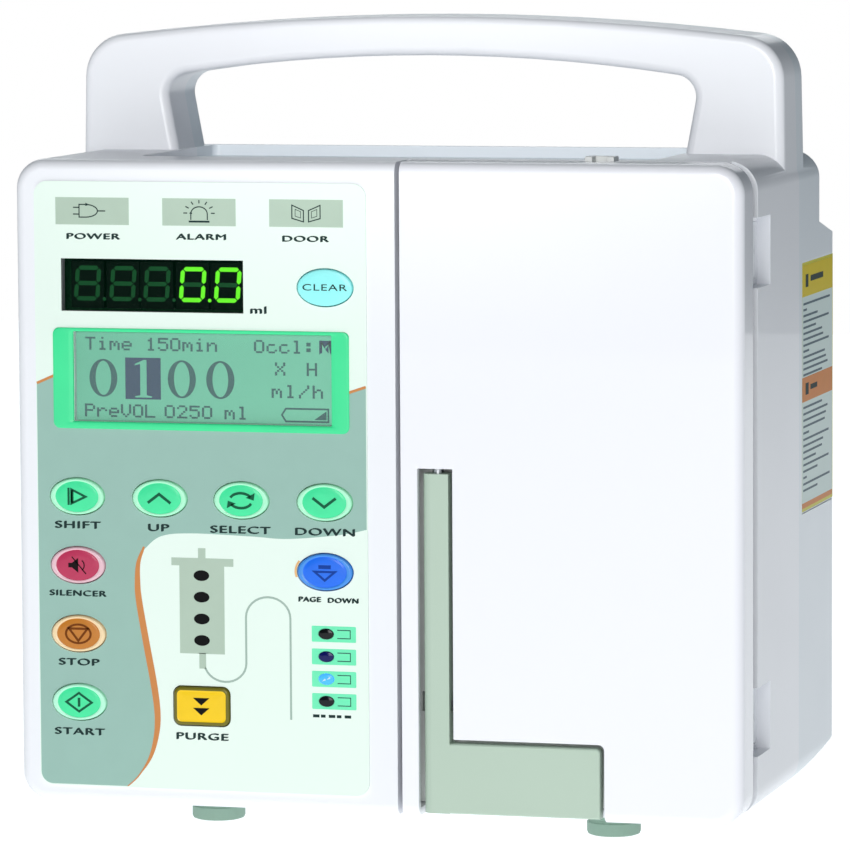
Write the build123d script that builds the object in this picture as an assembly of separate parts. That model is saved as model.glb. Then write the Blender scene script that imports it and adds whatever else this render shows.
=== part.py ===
from build123d import *
import math
import os

# Bedside infusion pump: a clamshell casing with a carrying handle, a keypad and displays on the left of its
# face, and on the right a hinged door with an L-shaped latch lever over a finger pump.
# Every part is drawn in casing coordinates: x across from the casing's middle, y back from the front face,
# z up from the casing's underside. The export moves them all to the object's own frame.

# ---- driving dimensions, mm ----
WIDTH = 200.0
HEIGHT = 174.0
DOOR_DEPTH = 12.8
PARTING = 71.0
CASE_DEPTH = 121.5
CORNER = 8.0
EDGE = 3.0
WALL = 2.5
FOOT_HEIGHT = 9.0
CLAMP_REACH = 41.5
KEY_RISE = 1.1

SEAM_LEFT = 6.15
SEAM_GAP = 1.2
FIT = 0.3
RUNNING = 0.05

HANDLE_FRONT = 55.0
HANDLE_REAR = 82.0
HANDLE_TOP = 211.0

TOP_STEP_DEPTH = 98.0
SHELF = 153.5
TOP_RECESS = 3.0
BAY_FLOOR = 18.6
BAY_LEFT = SEAM_LEFT

HINGE_X = 96.6
HINGE_Y = 14.4
HINGE_BARREL = 3.0
HINGE_PIN = 1.5
NOTCH_DEPTH = 3.6
NOTCH_BACK = 34.0
NOTCHES = ((16.4, 34.7), (140.7, 159.2))

LATCH_X = 16.75
LATCH_Y = 4.0
LATCH_PIN = 1.6
STRIP_LEFT = 13.1
STRIP_RIGHT = 20.4
STRIP_TOP = 91.6
ARM_RIGHT = 61.5
ARM_TOP = 19.8
LEVER_GAP = 1.1
HOOK_HEIGHTS = (28.0, 143.0)
HOOK_THICK = 3.0

PUMP_X = 58.5
CAM_Y = 42.0
CAM_RADIUS = 7.0
CAM_THROW = 1.2
FINGER_COUNT = 6
FINGER_PITCH = 6.5
FINGER_THICK = 5.4
FINGER_TIP = 17.4
PUMP_MIDDLE = 87.0

MOTOR_X = 22.0
CAM_PULLEY = 13.0
MOTOR_PULLEY = 6.5
BELT = 1.3
PULLEY_LOW = 43.0
PULLEY_HIGH = 51.0

KEY_COLUMNS = (-82.8, -59.5, -36.6, -13.4)
KEY_ROWS = (83.4, 64.8, 46.2, 27.6)
KEY_HALF = (7.6, 4.9)
KEYS = {
    "shift_key": (KEY_COLUMNS[0], KEY_ROWS[0]),
    "up_key": (KEY_COLUMNS[1], KEY_ROWS[0]),
    "select_key": (KEY_COLUMNS[2], KEY_ROWS[0]),
    "down_key": (KEY_COLUMNS[3], KEY_ROWS[0]),
    "silence_key": (KEY_COLUMNS[0], KEY_ROWS[1]),
    "page_key": (KEY_COLUMNS[3], KEY_ROWS[1]),
    "stop_key": (KEY_COLUMNS[0], KEY_ROWS[2]),
    "start_key": (KEY_COLUMNS[0], KEY_ROWS[3]),
    "clear_key": (-12.9, 140.6),
}
PURGE_KEY = (-48.2, 27.6)
PURGE_SIZE = (15.6, 10.4)

OVERLAY_X = (-94.2, -1.6)
OVERLAY_Z = (4.9, 168.2)
OVERLAY_THICK = 0.5
LED_WINDOW_X = (-86.7, -35.6)
LED_WINDOW_Z = (133.4, 147.5)
LCD_GLASS_X = (-83.4, -11.4)
LCD_GLASS_Z = (103.8, 127.9)
LCD_BEZEL_X = (-89.2, -6.4)
LCD_BEZEL_Z = (101.8, 128.9)
LAMP_X = -13.3
LAMP_ROWS = (48.2, 42.1, 36.1, 30.1)
STATUS_X = (-77.8, -47.7, -18.0)
STATUS_Z = 160.3

CLAMP_Z = 87.5
CLAMP_HALF_HEIGHT = 17.5
POLE_Y = 146.0
POLE_RADIUS = 12.5
SCREW_RADIUS = 4.0

FEET = ((-56.0, 38.0), (56.0, 38.0), (-56.0, 100.0), (56.0, 100.0))
SCREWS = ((-88.0, 136.0), (88.0, 136.0), (-88.0, 22.0), (88.0, 22.0))

FRONT_Y = KEY_RISE - (CASE_DEPTH + CLAMP_REACH + KEY_RISE) / 2
TO_FRAME = Location((0, FRONT_Y, FOOT_HEIGHT))


# ---- drawing helpers ----
def block(x, y, z):
    """Box between two limits on each axis."""
    size = (x[1] - x[0], y[1] - y[0], z[1] - z[0])
    middle = ((x[0] + x[1]) / 2, (y[0] + y[1]) / 2, (z[0] + z[1]) / 2)
    return Pos(*middle) * Box(*size)


def prism_y(sketch, y0, y1):
    """A sketch seen from the front (x across, z up), given depth from y0 to y1."""
    back = Plane(origin=(0, y1, 0), x_dir=(1, 0, 0), z_dir=(0, -1, 0))
    return extrude(back * sketch, amount=y1 - y0, dir=(0, -1, 0))


def prism_x(sketch, x0, x1):
    """A sketch seen from the right (y across, z up), given width from x0 to x1."""
    side = Plane(origin=(x0, 0, 0), x_dir=(0, 1, 0), z_dir=(1, 0, 0))
    return extrude(side * sketch, amount=x1 - x0, dir=(1, 0, 0))


def prism_z(sketch, z0, z1):
    """A sketch seen from above (x across, y back), given height from z0 to z1."""
    return extrude(Pos(0, 0, z0) * sketch, amount=z1 - z0, dir=(0, 0, 1))


def rod_z(x, y, z, radius):
    return prism_z(Pos(x, y) * Circle(radius), z[0], z[1])


def rod_y(x, y, z, radius):
    return prism_y(Pos(x, z) * Circle(radius), y[0], y[1])


def rod_x(x, y, z, radius):
    return prism_x(Pos(y, z) * Circle(radius), x[0], x[1])


def rounded(x, z, radius):
    """Rounded rectangle between limits, as seen from the front."""
    middle = Pos((x[0] + x[1]) / 2, (z[0] + z[1]) / 2)
    return middle * RectangleRounded(x[1] - x[0], z[1] - z[0], radius)


def oval(middle, half, grow=0.0):
    return Pos(*middle) * Ellipse(half[0] + grow, half[1] + grow)


def group(solids):
    """Several separate solids in one node."""
    return Compound(children=[part for solid in solids for part in solid.solids()])


def soften(solid, edges, radius):
    return fillet(edges, radius) if edges else solid


# ---- casing ----
def casing_outline(inset=0.0):
    across = (-WIDTH / 2 + inset, WIDTH / 2 - inset)
    return rounded(across, (inset, HEIGHT - inset), CORNER - inset)


def faced_block(depth):
    """The casing's front as one block, its front edge rounded all round."""
    slab = prism_y(casing_outline(), 0, depth)
    return soften(slab, slab.faces().sort_by(Axis.Y)[0].edges(), EDGE)


def handle_profile():
    """Arched handle as seen from the front, its legs rooted in the casing's top."""
    foot_z = HEIGHT - 8
    outer_x, outer_z = 98.6, 204.6
    inner_foot, inner_x, inner_z = 71.8, 75.6, 194.2
    outer = Polyline((-outer_x, outer_z), (-99.4, foot_z), (99.4, foot_z), (outer_x, outer_z))
    outer_top = ThreePointArc((outer_x, outer_z), (0, HANDLE_TOP), (-outer_x, outer_z))
    outer_face = make_face(outer.edges() + outer_top.edges())
    low = foot_z - 4
    inner = Polyline((-inner_x, inner_z), (-inner_foot, HEIGHT), (-inner_foot, low), (inner_foot, low),
                     (inner_foot, HEIGHT), (inner_x, inner_z))
    inner_top = ThreePointArc((inner_x, inner_z), (0, 200.2), (-inner_x, inner_z))
    inner_face = make_face(inner.edges() + inner_top.edges())
    for x in (-outer_x, outer_x):
        corner = outer_face.vertices().sort_by_distance((x, outer_z, 0))[0]
        outer_face = fillet(corner, 12)
    for x in (-inner_x, inner_x):
        corner = inner_face.vertices().sort_by_distance((x, inner_z, 0))[0]
        inner_face = fillet(corner, 6)
    return outer_face - inner_face


def handle_half(y0, y1, outer_y):
    """Half of the handle, with the edges of its outer face rounded."""
    half = prism_y(handle_profile(), y0, y1)
    face = half.faces().filter_by(Axis.Y).sort_by(lambda f: abs(f.center().Y - outer_y))[0]
    edges = face.edges().filter_by(lambda e: e.center().Z > HEIGHT - 7)
    return soften(half, edges, EDGE - 0.4)


def rear_solid(inset=0.0):
    """Rear of the casing: full height beside the handle, then stepped down to a shelf."""
    front = PARTING - (1 if inset else 0)
    back = CASE_DEPTH - inset
    top = HEIGHT - inset
    if inset:
        top = HEIGHT - TOP_RECESS - inset
    step = TOP_STEP_DEPTH - inset
    shelf = SHELF - inset
    points = [(front, 1.5 + inset), (front, top), (step, top), (step, shelf), (back, shelf - 5),
              (back, 9 + inset), (back - 8, 7 + inset)]
    side = Polygon(*points, align=None)
    for point, radius in ((points[2], 9), (points[4], 5), (points[5], 2)):
        corner = side.vertices().sort_by_distance((point[0], point[1], 0))[0]
        side = fillet(corner, radius)
    solid = prism_x(side, -WIDTH / 2 + inset, WIDTH / 2 - inset)
    solid = solid & prism_y(casing_outline(inset), front, CASE_DEPTH)
    plan = Pos(0, back - 40) * RectangleRounded(WIDTH - 2 * inset, 80, 6)
    forward = block((-WIDTH / 2, WIDTH / 2), (front, back - 30), (0, HEIGHT))
    return solid & (prism_z(plan, 0, HEIGHT) + forward)


def top_recess():
    """Shallow sunken strip on top of the casing, between the handle's legs."""
    sunken = block((-71.2, 71.2), (BAY_FLOOR + WALL, 86.0), (HEIGHT - TOP_RECESS, HEIGHT + 2))
    return soften(sunken, sunken.edges().filter_by(Axis.Z), 2.0)


def key_holes(y0, y1, grow):
    holes = [prism_y(oval(middle, KEY_HALF, grow), y0, y1) for middle in KEYS.values()]
    holes.append(prism_y(purge_outline(grow), y0, y1))
    return holes


def purge_outline(grow=0.0):
    return Pos(*PURGE_KEY) * RectangleRounded(PURGE_SIZE[0] + 2 * grow, PURGE_SIZE[1] + 2 * grow, 2 + grow)


def lamp_holes(y0, y1, grow=0.0):
    holes = [prism_y(Pos(LAMP_X, z) * Ellipse(2.2 + grow, 1.5 + grow), y0, y1) for z in LAMP_ROWS]
    for x in STATUS_X:
        holes.append(block((x - 3 - grow, x + 3 + grow), (y0, y1), (STATUS_Z - 1.5 - grow, STATUS_Z + 1.5 + grow)))
    return holes


def front_housing():
    shell = faced_block(PARTING)
    bay_right = WIDTH / 2 + 1
    shell -= block((SEAM_LEFT, bay_right), (-1, DOOR_DEPTH + FIT), (-1, HEIGHT + 1))
    inner = prism_y(casing_outline(WALL), 0, PARTING + 1)
    ceiling = HEIGHT - TOP_RECESS - WALL
    room = block((-WIDTH / 2, SEAM_LEFT - WALL), (WALL, PARTING + 1), (WALL, ceiling))
    room += block((SEAM_LEFT - WALL - 1, WIDTH / 2), (BAY_FLOOR + WALL, PARTING + 1), (WALL, ceiling))
    notch_bosses = [block((92.6, WIDTH / 2 - 1), (BAY_FLOOR, NOTCH_BACK + WALL), (low - WALL, high + WALL))
                    for low, high in NOTCHES]
    shell -= inner & room
    for boss in notch_bosses:
        shell += boss
    # bay behind the door, run out through the right side as the groove that the door's edge swings into
    shell -= block((BAY_LEFT, bay_right), (DOOR_DEPTH, BAY_FLOOR), (3.0, HEIGHT - 3.0))
    shell -= block((93.0, bay_right), (DOOR_DEPTH, BAY_FLOOR), (-1, HEIGHT + 1))
    for low, high in NOTCHES:
        shell -= block((WIDTH / 2 - NOTCH_DEPTH, bay_right), (DOOR_DEPTH, NOTCH_BACK), (low, high))
        shell -= block((94.9, bay_right), (BAY_FLOOR - 1, NOTCH_BACK - 2), (low + 1.6, high - 1.6))
    # pump window in the bay floor, with a rebate for its plate
    shell -= block((28, 88), (BAY_FLOOR - 1, BAY_FLOOR + 2), (18, 157))
    shell -= block((31, 85), (BAY_FLOOR - 1, BAY_FLOOR + WALL + 1), (21, 154))
    for z in ((-1, 5), (167.6, HEIGHT + 1)):
        shell -= block((PUMP_X - 4.2, PUMP_X + 4.2), (DOOR_DEPTH, BAY_FLOOR), z)
    shell += handle_half(HANDLE_FRONT, PARTING, HANDLE_FRONT)
    shell -= top_recess()
    for hole in key_holes(-1, WALL + 1, FIT):
        shell -= hole
    for hole in lamp_holes(-1, WALL + 1):
        shell -= hole
    shell -= block(LED_WINDOW_X, (-1, WALL + 1), LED_WINDOW_Z)
    shell -= block(LCD_GLASS_X, (-1, WALL + 1), LCD_GLASS_Z)
    for x, y in FEET[:2]:
        shell -= rod_z(x, y, (-1, WALL + 1), 2.0)
    return shell


def rear_housing():
    shell = rear_solid() - rear_solid(WALL)
    shell += handle_half(PARTING, HANDLE_REAR, HANDLE_REAR)
    shell -= top_recess()
    shell -= block((WIDTH / 2 - 0.25, WIDTH / 2 + 1), (75, 118), (74.7, 143.8))
    shell -= block((-76, -44), (CASE_DEPTH - WALL - 1, CASE_DEPTH + 1), (24, 66))
    shell -= block((15, 83), (CASE_DEPTH - 1.2, CASE_DEPTH + 1), (16, 62))
    for x, z in SCREWS:
        shell -= rod_y(x, (CASE_DEPTH - WALL - 1, CASE_DEPTH + 1), z, 1.7)
        shell -= rod_y(x, (CASE_DEPTH - 1.4, CASE_DEPTH + 1), z, 3.2)
    for step in range(6):
        z = 104 + 5 * step
        shell -= block((-WIDTH / 2 - 1, -WIDTH / 2 + WALL + 1), (86, 110), (z, z + 1.8))
    for x, y in FEET[2:]:
        shell -= rod_z(x, y, (0, 14), 2.0)
    for x, z in bolt_places():
        shell -= rod_y(x, (CASE_DEPTH - WALL - 1, CASE_DEPTH + 1), z, 2.1)
    return shell


# ---- control face ----
def control_overlay():
    sheet = prism_y(rounded(OVERLAY_X, OVERLAY_Z, 3.6), -OVERLAY_THICK, 0)
    for hole in key_holes(-1, 1, FIT):
        sheet -= hole
    for hole in lamp_holes(-1, 1)[:4]:
        sheet -= hole
    sheet -= block(LED_WINDOW_X, (-1, 1), LED_WINDOW_Z)
    sheet -= prism_y(rounded(LCD_BEZEL_X, LCD_BEZEL_Z, 1.6), -1, 1)
    return sheet


def lcd_bezel():
    ring = prism_y(rounded(LCD_BEZEL_X, LCD_BEZEL_Z, 1.6), -0.9, 0)
    return ring - block(LCD_GLASS_X, (-1, 1), LCD_GLASS_Z)


def window(x, z, radius):
    return prism_y(rounded(x, z, radius), -0.6, 0.9)


def lcd_window():
    return window(LCD_GLASS_X, LCD_GLASS_Z, 0.2)


def led_window():
    return window(LED_WINDOW_X, LED_WINDOW_Z, 0.2)


def lcd_module():
    frame = block((-86, -8.8), (2.7, 7.0), (100.8, 130.9))
    glass = block((-83.2, -11.6), (1.1, 2.7), (104.0, 127.7))
    return frame + glass


def led_display():
    digits = [block((x - 4.6, x + 4.6), (1.2, 7.4), (134.2, 146.7)) for x in (-79.8, -69.8, -60.3, -50.3, -40.6)]
    carrier = block((-86.2, -36.1), (7.4, 8.2), (134.0, 146.9))
    for digit in digits:
        carrier += digit
    return carrier


def indicator_lamps():
    return group([hole for hole in lamp_holes(-0.7, 5.0, -0.05)[:4]] + [
        block((x - 2.6, x + 2.6), (0.2, 5.0), (STATUS_Z - 1.2, STATUS_Z + 1.2)) for x in STATUS_X])


def key_button(middle):
    """Oval push key: cap through the casing wall, flange behind it, post on the switch."""
    cap = prism_y(oval(middle, KEY_HALF), -KEY_RISE, WALL + 0.8)
    crown = cap.faces().sort_by(Axis.Y)[0].edges()
    cap = soften(cap, crown, 0.45)
    flange = prism_y(oval(middle, KEY_HALF, 1.1), WALL + 0.05, WALL + 0.8)
    post = rod_y(middle[0], (WALL + 0.7, WALL + 1.6), middle[1], 1.6)
    return cap + flange + post


def purge_button():
    cap = prism_y(purge_outline(), -KEY_RISE, WALL + 0.8)
    cap = soften(cap, cap.faces().sort_by(Axis.Y)[0].edges(), 0.45)
    flange = prism_y(purge_outline(1.1), WALL + 0.05, WALL + 0.8)
    return cap + flange + rod_y(PURGE_KEY[0], (WALL + 0.7, WALL + 1.6), PURGE_KEY[1], 1.6)


def key_places():
    return list(KEYS.values()) + [PURGE_KEY]


def tact_switches():
    bodies = []
    for x, z in key_places():
        switch = block((x - 3, x + 3), (6.4, 8.5), (z - 3, z + 3))
        bodies.append(switch + rod_y(x, (5.2, 6.6), z, 1.7))
    return group(bodies)


def display_board():
    board = block((-95, 1.5), (8.5, 10.1), (8, 166))
    for x, z in ((-91, 12), (-2.5, 12), (-91, 162), (-2.5, 162)):
        board -= rod_y(x, (8, 11), z, 1.6)
    return board


# ---- door ----
def lever_opening(gap):
    """L-shaped cut-out for the lever, open at the door's lower edge."""
    strip = Pos((STRIP_LEFT + STRIP_RIGHT) / 2, 0) * Rectangle(
        STRIP_RIGHT - STRIP_LEFT + 2 * gap, 2 * (STRIP_TOP + gap + 0.3))
    arm = Pos((STRIP_LEFT + ARM_RIGHT) / 2, 0) * Rectangle(
        ARM_RIGHT - STRIP_LEFT + 2 * gap, 2 * (ARM_TOP + gap))
    outline = strip + arm
    corner = outline.vertices().sort_by_distance((ARM_RIGHT + gap, ARM_TOP + gap, 0))[0]
    return fillet(corner, 1.6)


def door_panel():
    left = SEAM_LEFT + SEAM_GAP
    skin = 2.2
    shell = faced_block(DOOR_DEPTH) & block((left, WIDTH / 2), (0, DOOR_DEPTH), (0, HEIGHT))
    hollow = prism_y(casing_outline(skin), skin, DOOR_DEPTH + 1)
    shell -= hollow & block((left + skin, WIDTH / 2), (skin, DOOR_DEPTH + 1), (0, HEIGHT))
    shell -= prism_y(lever_opening(LEVER_GAP), -1, DOOR_DEPTH - 3.2)
    for low, high in NOTCHES:
        shell -= rod_z(HINGE_X, HINGE_Y, (low, high), HINGE_BARREL + FIT)
    shell -= block((PUMP_X - 3, PUMP_X + 3), (9.4, DOOR_DEPTH + 1), (HEIGHT - 3, HEIGHT + 1))
    return shell


def door_inner_plate():
    """Plate that stiffens the door and carries the platen, the latch's bearings and the hinge knuckles."""
    plate = prism_y(casing_outline(2.5), 9.7, 12.5) & block((9.8, WIDTH / 2), (9, 13), (0, HEIGHT))
    plate -= block((PUMP_X - 8.8, PUMP_X + 8.8), (9, 13), (60.6, 113.4))
    for z in HOOK_HEIGHTS:
        plate -= block((10.4, 32), (9, 13), (z - 1.2, z + HOOK_THICK + 1.2))
    for z in ((95, 99), (136, 140), (150, 154)):
        lug = block((13.6, 19.9), (2.4, 9.8), z)
        plate += lug - rod_z(LATCH_X, LATCH_Y, z, LATCH_PIN + RUNNING)
    for low, high in NOTCHES:
        middle = (low + high) / 2
        span = (middle - 3.9, middle + 3.9)
        plate -= block((92.6, 98), (9, 13), (low - 0.4, high + 0.4))
        arm = block((91, HINGE_X - 1.6), (9.7, 12.5), span)
        knuckle = rod_z(HINGE_X, HINGE_Y, span, HINGE_BARREL)
        plate += (arm + knuckle) - rod_z(HINGE_X, HINGE_Y, span, HINGE_PIN + RUNNING)
    return plate


def platen():
    """Spring-backed bar that the tube is squeezed against."""
    bar = block((PUMP_X - 8.4, PUMP_X + 8.4), (7.4, 13.2), (61, 113))
    flange = block((PUMP_X - 10.6, PUMP_X + 10.6), (6.8, 9.3), (59, 115))
    return soften(bar, bar.faces().sort_by(Axis.Y)[-1].edges().filter_by(Axis.Z), 1.0) + flange


def platen_springs():
    return group([rod_y(PUMP_X, (2.3, 6.7), z, 3.2) - rod_y(PUMP_X, (2, 7), z, 2.4) for z in (71, 103)])


def latch_lever():
    """L-shaped handle; its left edge is the barrel that turns on the latch shaft."""
    face = 0.1
    strip = block((STRIP_LEFT, STRIP_RIGHT), (face, 5.8), (1.0, STRIP_TOP))
    left_front = strip.edges().filter_by(Axis.Z).sort_by_distance((STRIP_LEFT, face, 45))[0]
    strip = soften(strip, [left_front], 2.6)
    left_back = strip.edges().filter_by(Axis.Z).sort_by_distance((STRIP_LEFT, 5.8, 45))[0]
    strip = soften(strip, [left_back], 1.4)
    arm = block((STRIP_RIGHT - 2, ARM_RIGHT), (face, 3.6), (1.0, ARM_TOP))
    tip = arm.edges().filter_by(Axis.Y).sort_by_distance((ARM_RIGHT, 2, ARM_TOP))[0]
    arm = soften(arm, [tip], 1.4)
    front = arm.faces().sort_by(Axis.Y)[0].edges().filter_by(lambda e: e.center().X > STRIP_RIGHT)
    arm = soften(arm, front, 0.6)
    lever = strip + arm
    lever += block((30, 33), (3.5, 5.6), (3, 17)) + block((46, 49), (3.5, 5.6), (3, 17))
    lever -= rod_z(LATCH_X, LATCH_Y, (0, STRIP_TOP + 1), LATCH_PIN)
    low = HOOK_HEIGHTS[0]
    return lever - block((STRIP_LEFT - 1, STRIP_RIGHT + 1), (LATCH_Y - 1.8, 7), (low - 0.1, low + HOOK_THICK + 0.1))


def latch_shaft():
    """Steel shaft with two hooks that close behind the strikes."""
    shaft = rod_z(LATCH_X, LATCH_Y, (1.4, 156), LATCH_PIN)
    for z in HOOK_HEIGHTS:
        span = (z, z + HOOK_THICK)
        shaft += rod_z(LATCH_X, LATCH_Y, span, 1.75)
        shaft += block((15.4, 18.3), (LATCH_Y, 17.0), span)
        shaft += block((11.6, 16.0), (15.3, 17.0), span)
    return shaft


def strike_plates():
    strikes = []
    for z in HOOK_HEIGHTS:
        strikes.append(block((BAY_LEFT, 11.0), (13.3, 14.9), (z - 3.5, z + HOOK_THICK + 3.5)))
    return group(strikes)


def hinge_leaves():
    """Plates let into the casing's side, each ending in two knuckles."""
    leaves = []
    for low, high in NOTCHES:
        middle = (low + high) / 2
        half = (high - low) / 2 - 1.7
        leaf = block((94.9, WIDTH / 2 - NOTCH_DEPTH), (BAY_FLOOR - 0.4, NOTCH_BACK - 2.2), (middle - half, middle + half))
        for z in ((middle - half, middle - 4.2), (middle + 4.2, middle + half)):
            leaf += block((94.9, WIDTH / 2 - NOTCH_DEPTH), (HINGE_Y, BAY_FLOOR), z)
            leaf += rod_z(HINGE_X, HINGE_Y, z, HINGE_BARREL)
            leaf -= rod_z(HINGE_X, HINGE_Y, z, HINGE_PIN)
        for y in (23.0, 29.0):
            leaf -= rod_x((94, 97), y, middle, 1.2)
        leaves.append(leaf)
    return group(leaves)


def hinge_pins():
    pins = []
    for low, high in NOTCHES:
        pins.append(rod_z(HINGE_X, HINGE_Y, (low + 1.7, high - 1.7), HINGE_PIN))
    return group(pins)


# ---- pump ----
def finger_heights():
    return [PUMP_MIDDLE + (i - (FINGER_COUNT - 1) / 2) * FINGER_PITCH for i in range(FINGER_COUNT)]


def bay_plate():
    plate = block((28.2, 87.8), (BAY_FLOOR, BAY_FLOOR + 2), (18.2, 156.8))
    heights = finger_heights()
    window_z = (heights[0] - 3.4, heights[-1] + 3.4)
    plate -= block((PUMP_X - 6.2, PUMP_X + 6.2), (18, 21), window_z)
    plate -= block((PUMP_X - 7.2, PUMP_X + 7.2), (18, 21), (126, 140))
    plate -= block((PUMP_X - 7.2, PUMP_X + 7.2), (18, 21), (34, 48))
    return plate


def sensor(z, depth):
    """Block beside the tube's path, with a slot that holds the tube."""
    body = block((PUMP_X - 7, PUMP_X + 7), (14.0, depth), (z - 6.8, z + 6.8))
    return body - block((PUMP_X - 1.9, PUMP_X + 1.9), (13, 17.6), (z - 7, z + 7))


def tube_guides():
    """Clips that hold the tube where it enters and leaves the bay."""
    guides = []
    for z in ((168.0, HEIGHT + 1.2), (0.6, 4.6)):
        clip = block((PUMP_X - 4, PUMP_X + 4), (13.3, BAY_FLOOR), z)
        guides.append(clip - block((PUMP_X - 1.9, PUMP_X + 1.9), (13, 17.2), (z[0] - 1, z[1] + 1)))
    return group(guides)


def pump_frame():
    left, right = PUMP_X - 14.5, PUMP_X + 14.5
    frame = block((PUMP_X - 10, PUMP_X + 10), (21.3, 28.5), (57.5, 116.5))
    frame += block((left, right), (21.3, 60.5), (113, 116.5))
    frame += block((left, right), (21.3, 60.5), (57.5, 61))
    frame += block((left, right), (58, 60.5), (57.5, 116.5))
    for z in finger_heights():
        frame -= block((PUMP_X - 5.8, PUMP_X + 5.8), (21, 31), (z - 2.9, z + 2.9))
    frame -= rod_z(PUMP_X, CAM_Y, (57, 62), 8.0)
    frame -= rod_z(PUMP_X, CAM_Y, (112, 117), 8.0)
    return frame


def camshaft_bearings():
    rings = []
    for z in ((57.5, 61), (113, 116.5)):
        rings.append(rod_z(PUMP_X, CAM_Y, z, 8.0) - rod_z(PUMP_X, CAM_Y, z, 3.0 + RUNNING))
    return group(rings)


def camshaft():
    shaft = rod_z(PUMP_X, CAM_Y, (40, 119), 3.0)
    for i, z in enumerate(finger_heights()):
        turn = 2 * math.pi * i / FINGER_COUNT
        x = PUMP_X + CAM_THROW * math.cos(turn)
        y = CAM_Y + CAM_THROW * math.sin(turn)
        shaft += rod_z(x, y, (z - 2.6, z + 2.6), CAM_RADIUS)
    return shaft


def cam_pulley():
    wheel = rod_z(PUMP_X, CAM_Y, (PULLEY_LOW, PULLEY_HIGH), CAM_PULLEY)
    for z in ((PULLEY_LOW, PULLEY_LOW + 1.2), (PULLEY_HIGH - 1.2, PULLEY_HIGH)):
        wheel += rod_z(PUMP_X, CAM_Y, z, CAM_PULLEY + 1.6)
    return wheel - rod_z(PUMP_X, CAM_Y, (PULLEY_LOW - 1, PULLEY_HIGH + 1), 3.0)


def motor_pulley():
    """Motor shaft and its pulley."""
    wheel = rod_z(MOTOR_X, CAM_Y, (PULLEY_LOW, PULLEY_HIGH), MOTOR_PULLEY)
    for z in ((PULLEY_LOW, PULLEY_LOW + 1.2), (PULLEY_HIGH - 1.2, PULLEY_HIGH)):
        wheel += rod_z(MOTOR_X, CAM_Y, z, MOTOR_PULLEY + 1.6)
    return wheel + rod_z(MOTOR_X, CAM_Y, (PULLEY_LOW, 66), 2.5)


def drive_motor():
    body = block((MOTOR_X - 19, MOTOR_X + 19), (CAM_Y - 19, CAM_Y + 19), (56, 96))
    body = soften(body, body.edges().filter_by(Axis.Z), 4)
    body += rod_z(MOTOR_X, CAM_Y, (54.4, 57), 11)
    return body - rod_z(MOTOR_X, CAM_Y, (54, 68), 2.5 + RUNNING)


def belt_outline(grow):
    large = Pos(PUMP_X, CAM_Y) * Circle(CAM_PULLEY + grow)
    small = Pos(MOTOR_X, CAM_Y) * Circle(MOTOR_PULLEY + grow)
    return make_hull(large.edges() + small.edges())


def drive_belt():
    loop = belt_outline(0.15 + BELT) - belt_outline(0.15)
    return prism_z(loop, PULLEY_LOW + 1.5, PULLEY_HIGH - 1.5)


def finger():
    """Flat follower that squeezes the tube, drawn at mid height; one for each cam."""
    back = CAM_Y - CAM_RADIUS - CAM_THROW - 0.4
    plate = block((PUMP_X - 5.5, PUMP_X + 5.5), (FINGER_TIP, back), (-FINGER_THICK / 2, FINGER_THICK / 2))
    nose = plate.faces().sort_by(Axis.Y)[0].edges().filter_by(Axis.X)
    plate = soften(plate, nose, 1.2)
    return plate + block((PUMP_X - 8, PUMP_X + 8), (back - 2, back), (-FINGER_THICK / 2, FINGER_THICK / 2))


# ---- electronics and power ----
def board_with_parts(x, y, z, parts):
    board = block(x, y, z)
    for px, py, pz in parts:
        board += block(px, py, pz)
    return board


def main_board():
    parts = [((-70, -50), (48.2, 50), (90, 110)), ((-40, -28), (47, 50), (60, 84)),
             ((-80, -60), (44, 50), (20, 26)), ((-35, -15), (48, 50), (120, 140)), ((-88, -80), (41, 50), (60, 90))]
    return board_with_parts((-94, -8), (50, 51.6), (12, 160), parts)


def power_supply_board():
    parts = [((-80, -50), (60, 84), (90, 120)), ((-46, -30), (64, 84), (40, 60)), ((-75, -55), (72, 84), (44, 62)),
             ((-40, -26), (68, 84), (80, 100))]
    board = board_with_parts((-94, -12), (84, 85.6), (14, 140), parts)
    for z in (28, 72):
        board += rod_y(-22, (62, 84.2), z, 6)
    return board


def battery_pack():
    cells = [rod_x((18, 86), y, z, 9) for y in (84, 102.5) for z in (24, 42.5)]
    pack = block((19, 85), (84, 102.5), (24, 42.5))
    for cell in cells:
        pack += cell
    return pack


def battery_cover():
    cover = block((15.3, 82.7), (CASE_DEPTH - 1.2, CASE_DEPTH + 0.3), (16.3, 61.7))
    cover = soften(cover, cover.edges().filter_by(Axis.Y), 1.5)
    for step in range(4):
        z = 26 + 3 * step
        cover -= block((44, 59), (CASE_DEPTH - 0.4, CASE_DEPTH + 1), (z, z + 1.2))
    return cover


def speaker():
    cone = rod_x((-97.4, -90), 99, 117, 12.5)
    return cone + rod_x((-90.5, -86), 99, 117, 7)


def power_inlet():
    """Appliance inlet with three flat pins, and the frame of the power switch above it."""
    flange = block((-78, -42), (CASE_DEPTH, CASE_DEPTH + 2.2), (22, 68))
    flange = soften(flange, flange.edges().filter_by(Axis.Y), 2.0)
    body = flange + block((-75.8, -44.2), (CASE_DEPTH - 20, CASE_DEPTH + 0.1), (24.2, 65.8))
    body -= block((-72, -48), (CASE_DEPTH - 14, CASE_DEPTH + 3), (27, 43.5))
    for x, z in ((-66, 32.5), (-54, 32.5), (-60, 38.5)):
        body += block((x - 1, x + 1), (CASE_DEPTH - 15, CASE_DEPTH - 3), (z - 2, z + 2))
    return body - block((-71, -49), (CASE_DEPTH - 12, CASE_DEPTH + 3), (49, 63))


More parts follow.
